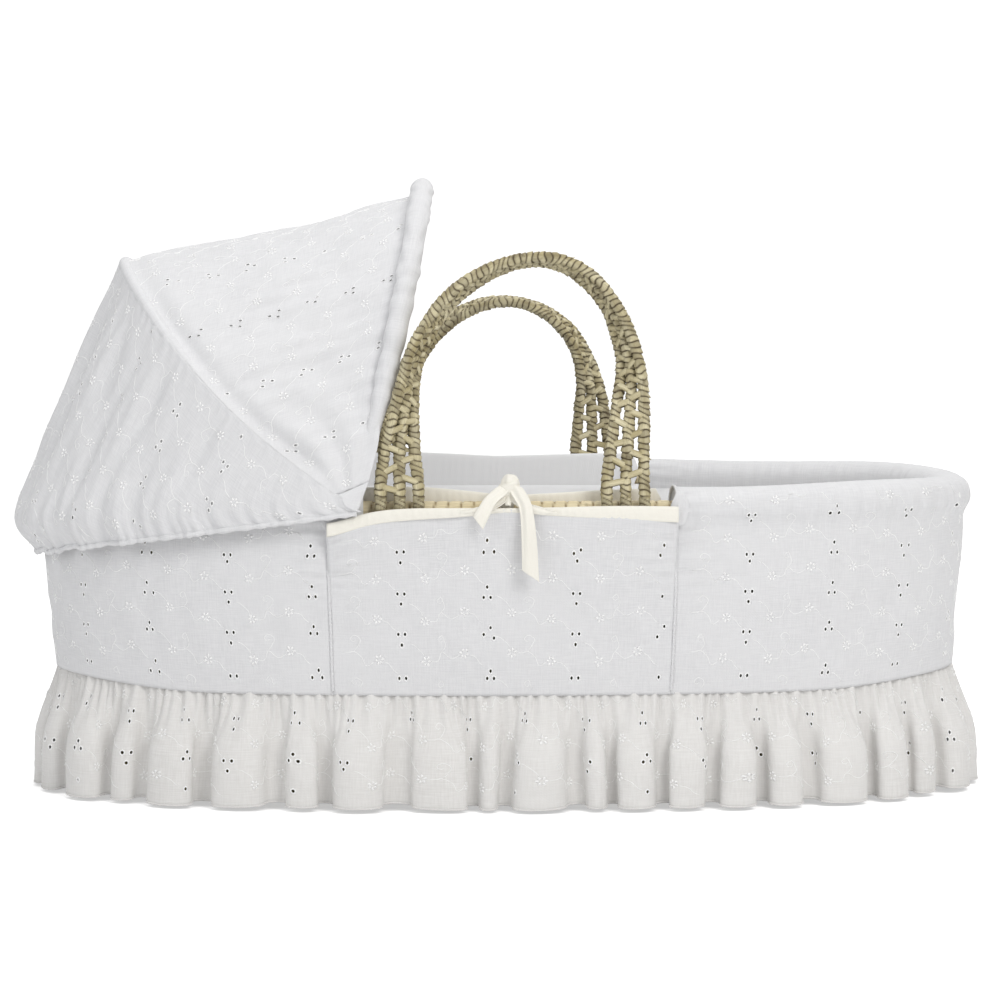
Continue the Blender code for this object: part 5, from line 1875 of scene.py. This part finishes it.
def hood_lining(label, part, bodies, weights, cells):
    """A thin lining under a hood part, through samples of it."""
    columns = np.linspace(0.002, part.width - 0.002, 150)
    rows = np.linspace(0.012, 0.988, cells)
    grid = Patch(part.surface.place(*np.meshgrid(columns, rows, indexing="ij"), -0.0016))

    def point(across, fall):
        return grid((across - columns[0]) / (columns[-1] - columns[0]),
                    (fall - rows[0]) / (rows[-1] - rows[0]))
    build = Build(Surface(point, HOOD_PROBE, part.surface.v_length))
    add_sheet(build, columns, rows, 0.0005)
    lining = build.make("hood_%s_lining" % label, [LINING])
    attach_between(lining, "padded_lining", bodies, **HOOD_SPAN, weights=weights)


def corner_gusset(label, side, end_share, edge_share):
    """The small flap that closes the hood's front corner over the pivot."""
    least = COVER_Y + 0.0002
    fall = np.linspace(0, 1, 22)
    top = hood_rear.base.point(end_share, 0.02)
    front = hood_front.base.point(end_share, 0.0)
    edge = hood_rear.point(edge_share, 0.02 + 0.98 * fall)
    for spots in (top, front, edge):
        spots[..., 1] = side * np.maximum(np.abs(spots[..., 1]), least)
    back, down = np.meshgrid(fall, fall, indexing="ij")
    points = ((top + down[..., None] * (front - top)) * (1 - back)[..., None]
              + edge * back[..., None])
    points[..., 1] += side * (0.0012 * np.sin(pi * back) * np.sin(pi * down)
                              + 0.0004 * np.sin(9 * back + 5 * down) * down * (1 - back))
    half = np.array([0, side * 0.0005, 0])
    cloth = stack(back * 0.03, down * 0.03)
    build = Build()
    build.skin(build.add(points + half, cloth), build.add(points - half, cloth))
    flap = build.make("hood_corner_" + label, [COTTON])
    face_outwards(flap, merge=True)
    attach_between(flap, "embroidered_cotton", ("basket", "hood_rear"), **HOOD_SPAN,
                   weights=lambda spots: smooth(spots[:, 2], 0.266, 0.288))


FRONT_BODIES, REAR_BODIES = ("hood_rear", "hood_front"), ("basket", "hood_rear")
hood_lining("front", hood_front, FRONT_BODIES, front_weights, 46)
hood_lining("rear", hood_rear, REAR_BODIES, rear_weights, 60)
hood_panel("front", hood_front, 101, FRONT_BODIES, front_weights,
           (FRONT_WIDTH / 2 - 0.038, 0.012))
hood_panel("rear", hood_rear, 102, REAR_BODIES, rear_weights, (REAR_WIDTH / 2 - 0.030, 0.006))
corner_gusset("left", -1.0, 0.0, 0.003)
corner_gusset("right", 1.0, 1.0, 0.997)

# ------------------------------------------------------------------ hood roll, casing and hem
roll_noise = wave_field(121, [0.030, 0.017], 6, stretch=(1.6, 0.7))
roll_big = wave_field(122, [0.09], 5)


def roll_fold(run, angle):
    run, angle = np.broadcast_arrays(run, angle)
    x = np.sin(angle) * 0.012
    gather = np.sin(phase(run, 0.0215, (2.0, 0.093)) + 0.8 * np.sin(angle + run * 40))
    middle = smooth(run, 0.0, 0.06) * (1 - smooth(run, run.max() - 0.06, run.max()))
    return ((0.00040 * gather + 0.00042 * roll_noise(run, x) + 0.0003 * roll_big(run, x))
            * (0.35 + 0.65 * middle))


def casing_fold(run, angle):
    return 0.00025 * wave(run, 0.0068, 2 * np.sin(run * 55))


def hoop_sleeve(name, hoop, foot, count, radius, fold, body, sides, *nodes):
    line, rise, *_ = hoop_curve(hoop, hoop_phi(hoop, foot, np.linspace(0, 1, count)))
    sleeve = tube_object(name, line, radius(rise), sides, COTTON, relief=fold)
    face_outwards(sleeve)
    attach(sleeve, "embroidered_cotton", *nodes, body=body)


def hood_hem():
    share = np.linspace(0.004, 0.996, 640)
    line = hood_rear.point(share, 0.9995) + np.array([0, 0, -0.0012])
    radius = 0.0024 + 0.0005 * np.sin(hem_phase(share * REAR_WIDTH))
    hem = tube_object("hood_gathered_hem", line, radius, 14, COTTON)
    face_outwards(hem)
    attach(hem, "embroidered_cotton", "hood_hem_elastic")


hoop_sleeve("hood_front_roll", FRONT_HOOP, 0.021, 520,
            lambda rise: roll_radius(rise) + 0.0010 * np.minimum(
                rise / FRONT_HOOP["height"], 1),
            roll_fold, "hood_front", 36, "hood_front_sleeve")
hoop_sleeve("hood_rear_casing", REAR_HOOP, 0.019, 420,
            lambda rise: 0.0022 + 0.0030 * smooth(rise, 0.13, 0.25),
            casing_fold, "hood_rear", 18)
hood_hem()

# ------------------------------------------------------------------ mattress
# Rows of the pad's side from bottom to top: offset from its outline, z
PAD_ROWS = [(-0.010, 0.0125), (-0.002, 0.0110), (0.0, 0.0140), (0.0, 0.0360),
            (-0.002, 0.0385), (-0.012, 0.0395)]
PAD_OFF = -0.0265                # offset of that outline from the basket's plan curve


def pad_mesh():
    count = 220
    theta = np.linspace(0, 2 * pi, count + 1)[:-1]
    points = np.array([plan(theta, 0.028, PAD_OFF + off, z) for off, z in PAD_ROWS])
    ids = np.arange(points.size // 3).reshape(len(PAD_ROWS), count)
    faces = [(row[i], row[(i + 1) % count], above[(i + 1) % count], above[i])
             for row, above in zip(ids.tolist(), ids[1:].tolist()) for i in range(count)]
    faces += [tuple(ids[0, ::-1].tolist()), tuple(ids[-1].tolist())]
    mesh = bpy.data.meshes.new("mattress_pad")
    mesh.from_pydata(points.reshape(-1, 3).tolist(), [], faces)
    return mesh


def plumped(pad, start):
    """The pad's vertices after a short cloth simulation under pressure."""
    cloth = pad.modifiers.new("cloth", "CLOTH")
    for key, value in dict(use_pressure=True, uniform_pressure_force=4.0, quality=5, mass=0.3,
                           tension_stiffness=12, compression_stiffness=12,
                           bending_stiffness=0.4).items():
        setattr(cloth.settings, key, value)
    cloth.settings.effector_weights.gravity = 0.0
    cloth.point_cache.frame_start = 1
    cloth.point_cache.frame_end = 20
    scene = bpy.context.scene
    for number in range(1, 21):
        scene.frame_set(number)
    evaluated = pad.evaluated_get(bpy.context.evaluated_depsgraph_get())
    mesh = evaluated.to_mesh()
    points = np.empty(len(mesh.vertices) * 3, np.float32)
    mesh.vertices.foreach_get("co", points)
    evaluated.to_mesh_clear()
    move = points.reshape(-1, 3).astype(float) - start
    # no vertex moves further than the limit, and less sideways than up
    distance, limit = np.linalg.norm(move, axis=1, keepdims=True), 0.006
    move = (move * np.where(distance > limit, limit / np.maximum(distance, 1e-9), 1.0)
            * np.array([0.75, 0.75, 1.0]))
    pad.modifiers.remove(cloth)
    scene.frame_set(1)
    return start + move


def mattress():
    pad = new_object("mattress_pad", pad_mesh())
    bpy.context.view_layer.objects.active = pad
    pad.select_set(True)
    remesh = pad.modifiers.new("remesh", "REMESH")
    remesh.mode = "VOXEL"
    remesh.voxel_size = 0.0060
    bpy.ops.object.modifier_apply(modifier="remesh")
    start = coords(pad)
    points = plumped(pad, start)
    # the filling is soft: broad dents, a slightly hollowed middle and a flat underside
    x, y, z = points.T
    reach = np.abs(x / 0.355) ** 2.4 + np.abs(y / 0.13) ** 2.4
    dents = 0.0014 * wave_field(131, [0.16, 0.08], 6)(x, y) * np.clip(1.1 - reach, 0, 1)
    hollow = 0.0015 * np.clip(1 - reach, 0, 1)
    points[:, 2] = np.clip(z + np.where(z > 0.030, dents - hollow, 0), 0.0104, 0.0470)
    pad.data.vertices.foreach_set("co", points.astype(np.float32).ravel())
    pad.data.update()
    pad.data.materials.append(TICKING)
    set_fabric(pad.data, points[:, :2])
    smoothing = pad.modifiers.new("sub", "SUBSURF")
    smoothing.levels = smoothing.render_levels = 1
    bpy.ops.object.modifier_apply(modifier="sub")
    pad.data.shade_smooth()
    pad.select_set(False)
    attach(pad, "mattress_cover", "mattress")
    points = coords(pad)
    mattress_piping("mattress_piping_top", points, 0.0385)
    mattress_piping("mattress_piping_low", points, 0.0128)


def mattress_piping(name, points, z):
    """Piping round the pad's widest line near z, found in equal steps of angle."""
    bins, half_x, half_y = 240, 0.37, 0.15
    near = points[np.abs(points[:, 2] - z) < 0.004]
    x, y = near[:, 0] / half_x, near[:, 1] / half_y
    i = ((np.arctan2(y, x) + pi) / (2 * pi) * bins).astype(int) % bins
    reach = np.zeros(bins)
    np.maximum.at(reach, i, np.hypot(x, y))
    reach = np.where(reach == 0, np.median(reach), reach)
    reach = np.convolve(np.pad(reach, 2, mode="wrap"), np.array([1, 2, 3, 2, 1]) / 9,
                        mode="valid")
    angle = -pi + (np.arange(bins) + 0.5) * 2 * pi / bins
    coarse = stack(half_x * reach * np.cos(angle), half_y * reach * np.sin(angle), z)
    weights = spline_weights((np.arange(bins * 4) % 4 / 4)[:, None])
    line = sum(weight * np.repeat(np.roll(coarse, -shift, 0), 4, axis=0)
               for weight, shift in zip(weights, (-1, 0, 1, 2)))
    radius = 0.0017 * (1 + 0.05 * np.sin(np.arange(len(line)) * 0.9))
    piping = tube_object(name, line, radius, 12, TICKING, closed=True)
    face_outwards(piping)
    attach(piping, "mattress_cover")


mattress()

# ------------------------------------------------------------------ finishes of the CAD parts that stay
for name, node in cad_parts.items():
    if "wire" in name or "pin" in name:
        finish = STEEL
    elif "bracket" in name:
        finish = PLASTIC
    else:
        continue
    for material_slot in node.material_slots:
        material_slot.material = finish
    if not node.material_slots:
        node.data.materials.append(finish)


# ------------------------------------------------------------------ stage, light and camera
def studio_floor():
    """A floor that curves up into a back wall at +Y."""
    floor_z, half_width, bend_y, bend_radius = -0.0006, 9.0, 3.2, 1.6
    profile = [(-9.0, floor_z), (bend_y, floor_z)]
    for k in range(1, 13):
        angle = k / 12 * pi / 2
        profile.append((bend_y + bend_radius * math.sin(angle),
                        floor_z + bend_radius * (1 - math.cos(angle))))
    profile.append((bend_y + bend_radius, 6.0))
    mesh = bpy.data.meshes.new("studio_floor")
    mesh.from_pydata([(x, y, z) for y, z in profile for x in (-half_width, half_width)], [],
                     [(i, i + 1, i + 3, i + 2) for i in range(0, 2 * len(profile) - 2, 2)])
    mesh.shade_smooth()
    floor = new_object("studio_floor", mesh)
    nodes = new_material("studio_white")
    seen = nodes.add("LightPath").outputs["Is Camera Ray"]
    seen_glow = 0.50             # glows only where the camera sees it
    mesh.materials.append(nodes.fill({
        "Base Color": (0.93, 0.93, 0.93, 1), "Roughness": 0.9, "Specular IOR Level": 0.1,
        "Emission Color": (1, 1, 1, 1),
        "Emission Strength": nodes.math("MULTIPLY", seen, seen_glow)}))


def area_light(name, location, size, power, colour=(1, 1, 1)):
    """An area light aimed at the basket."""
    light = bpy.data.lights.new(name, "AREA")
    light.energy = power
    light.size = size
    light.color = colour
    lamp = bpy.data.objects.new(name, light)
    lamp.location = location
    aim = Vector((0, 0, 0.2)) - Vector(location)
    lamp.rotation_euler = aim.to_track_quat("-Z", "Y").to_euler()
    bpy.context.scene.collection.objects.link(lamp)


def studio_world():
    nodes = Nodes(bpy.data.worlds.new("studio"))
    seen = nodes.add("LightPath").outputs["Is Camera Ray"]
    light, seen_extra = 0.46, 0.56   # strength for all rays, and more for the camera's
    strength = nodes.math("ADD", nodes.math("MULTIPLY", seen, seen_extra), light)
    bpy.context.scene.world = nodes.fill(
        {"Color": (1.0, 1.0, 1.0, 1), "Strength": strength}, node="Background")


def camera():
    view = bpy.data.cameras.new("photo_angle")
    view.lens = 148.068
    view.sensor_width = 36.0
    holder = new_object("photo_angle", view)
    holder.location = (-0.112, -3.76, 0.532)
    aim = Vector((-0.0046, 0.0, 0.258)) - holder.location
    holder.rotation_euler = aim.to_track_quat("-Z", "Y").to_euler()
    bpy.context.scene.camera = holder


studio_floor()
area_light("key", location=(1.5, -2.9, 2.4), size=1.5, power=52, colour=(1.0, 0.99, 0.975))
area_light("fill", location=(-2.3, -2.2, 1.7), size=2.2, power=17, colour=(0.97, 0.985, 1.0))
area_light("top", location=(0.1, 0.2, 3.0), size=2.4, power=32)
area_light("back", location=(0.6, 3.0, 1.8), size=2.2, power=14)
studio_world()
camera()
bpy.context.scene.view_settings.view_transform = "Standard"
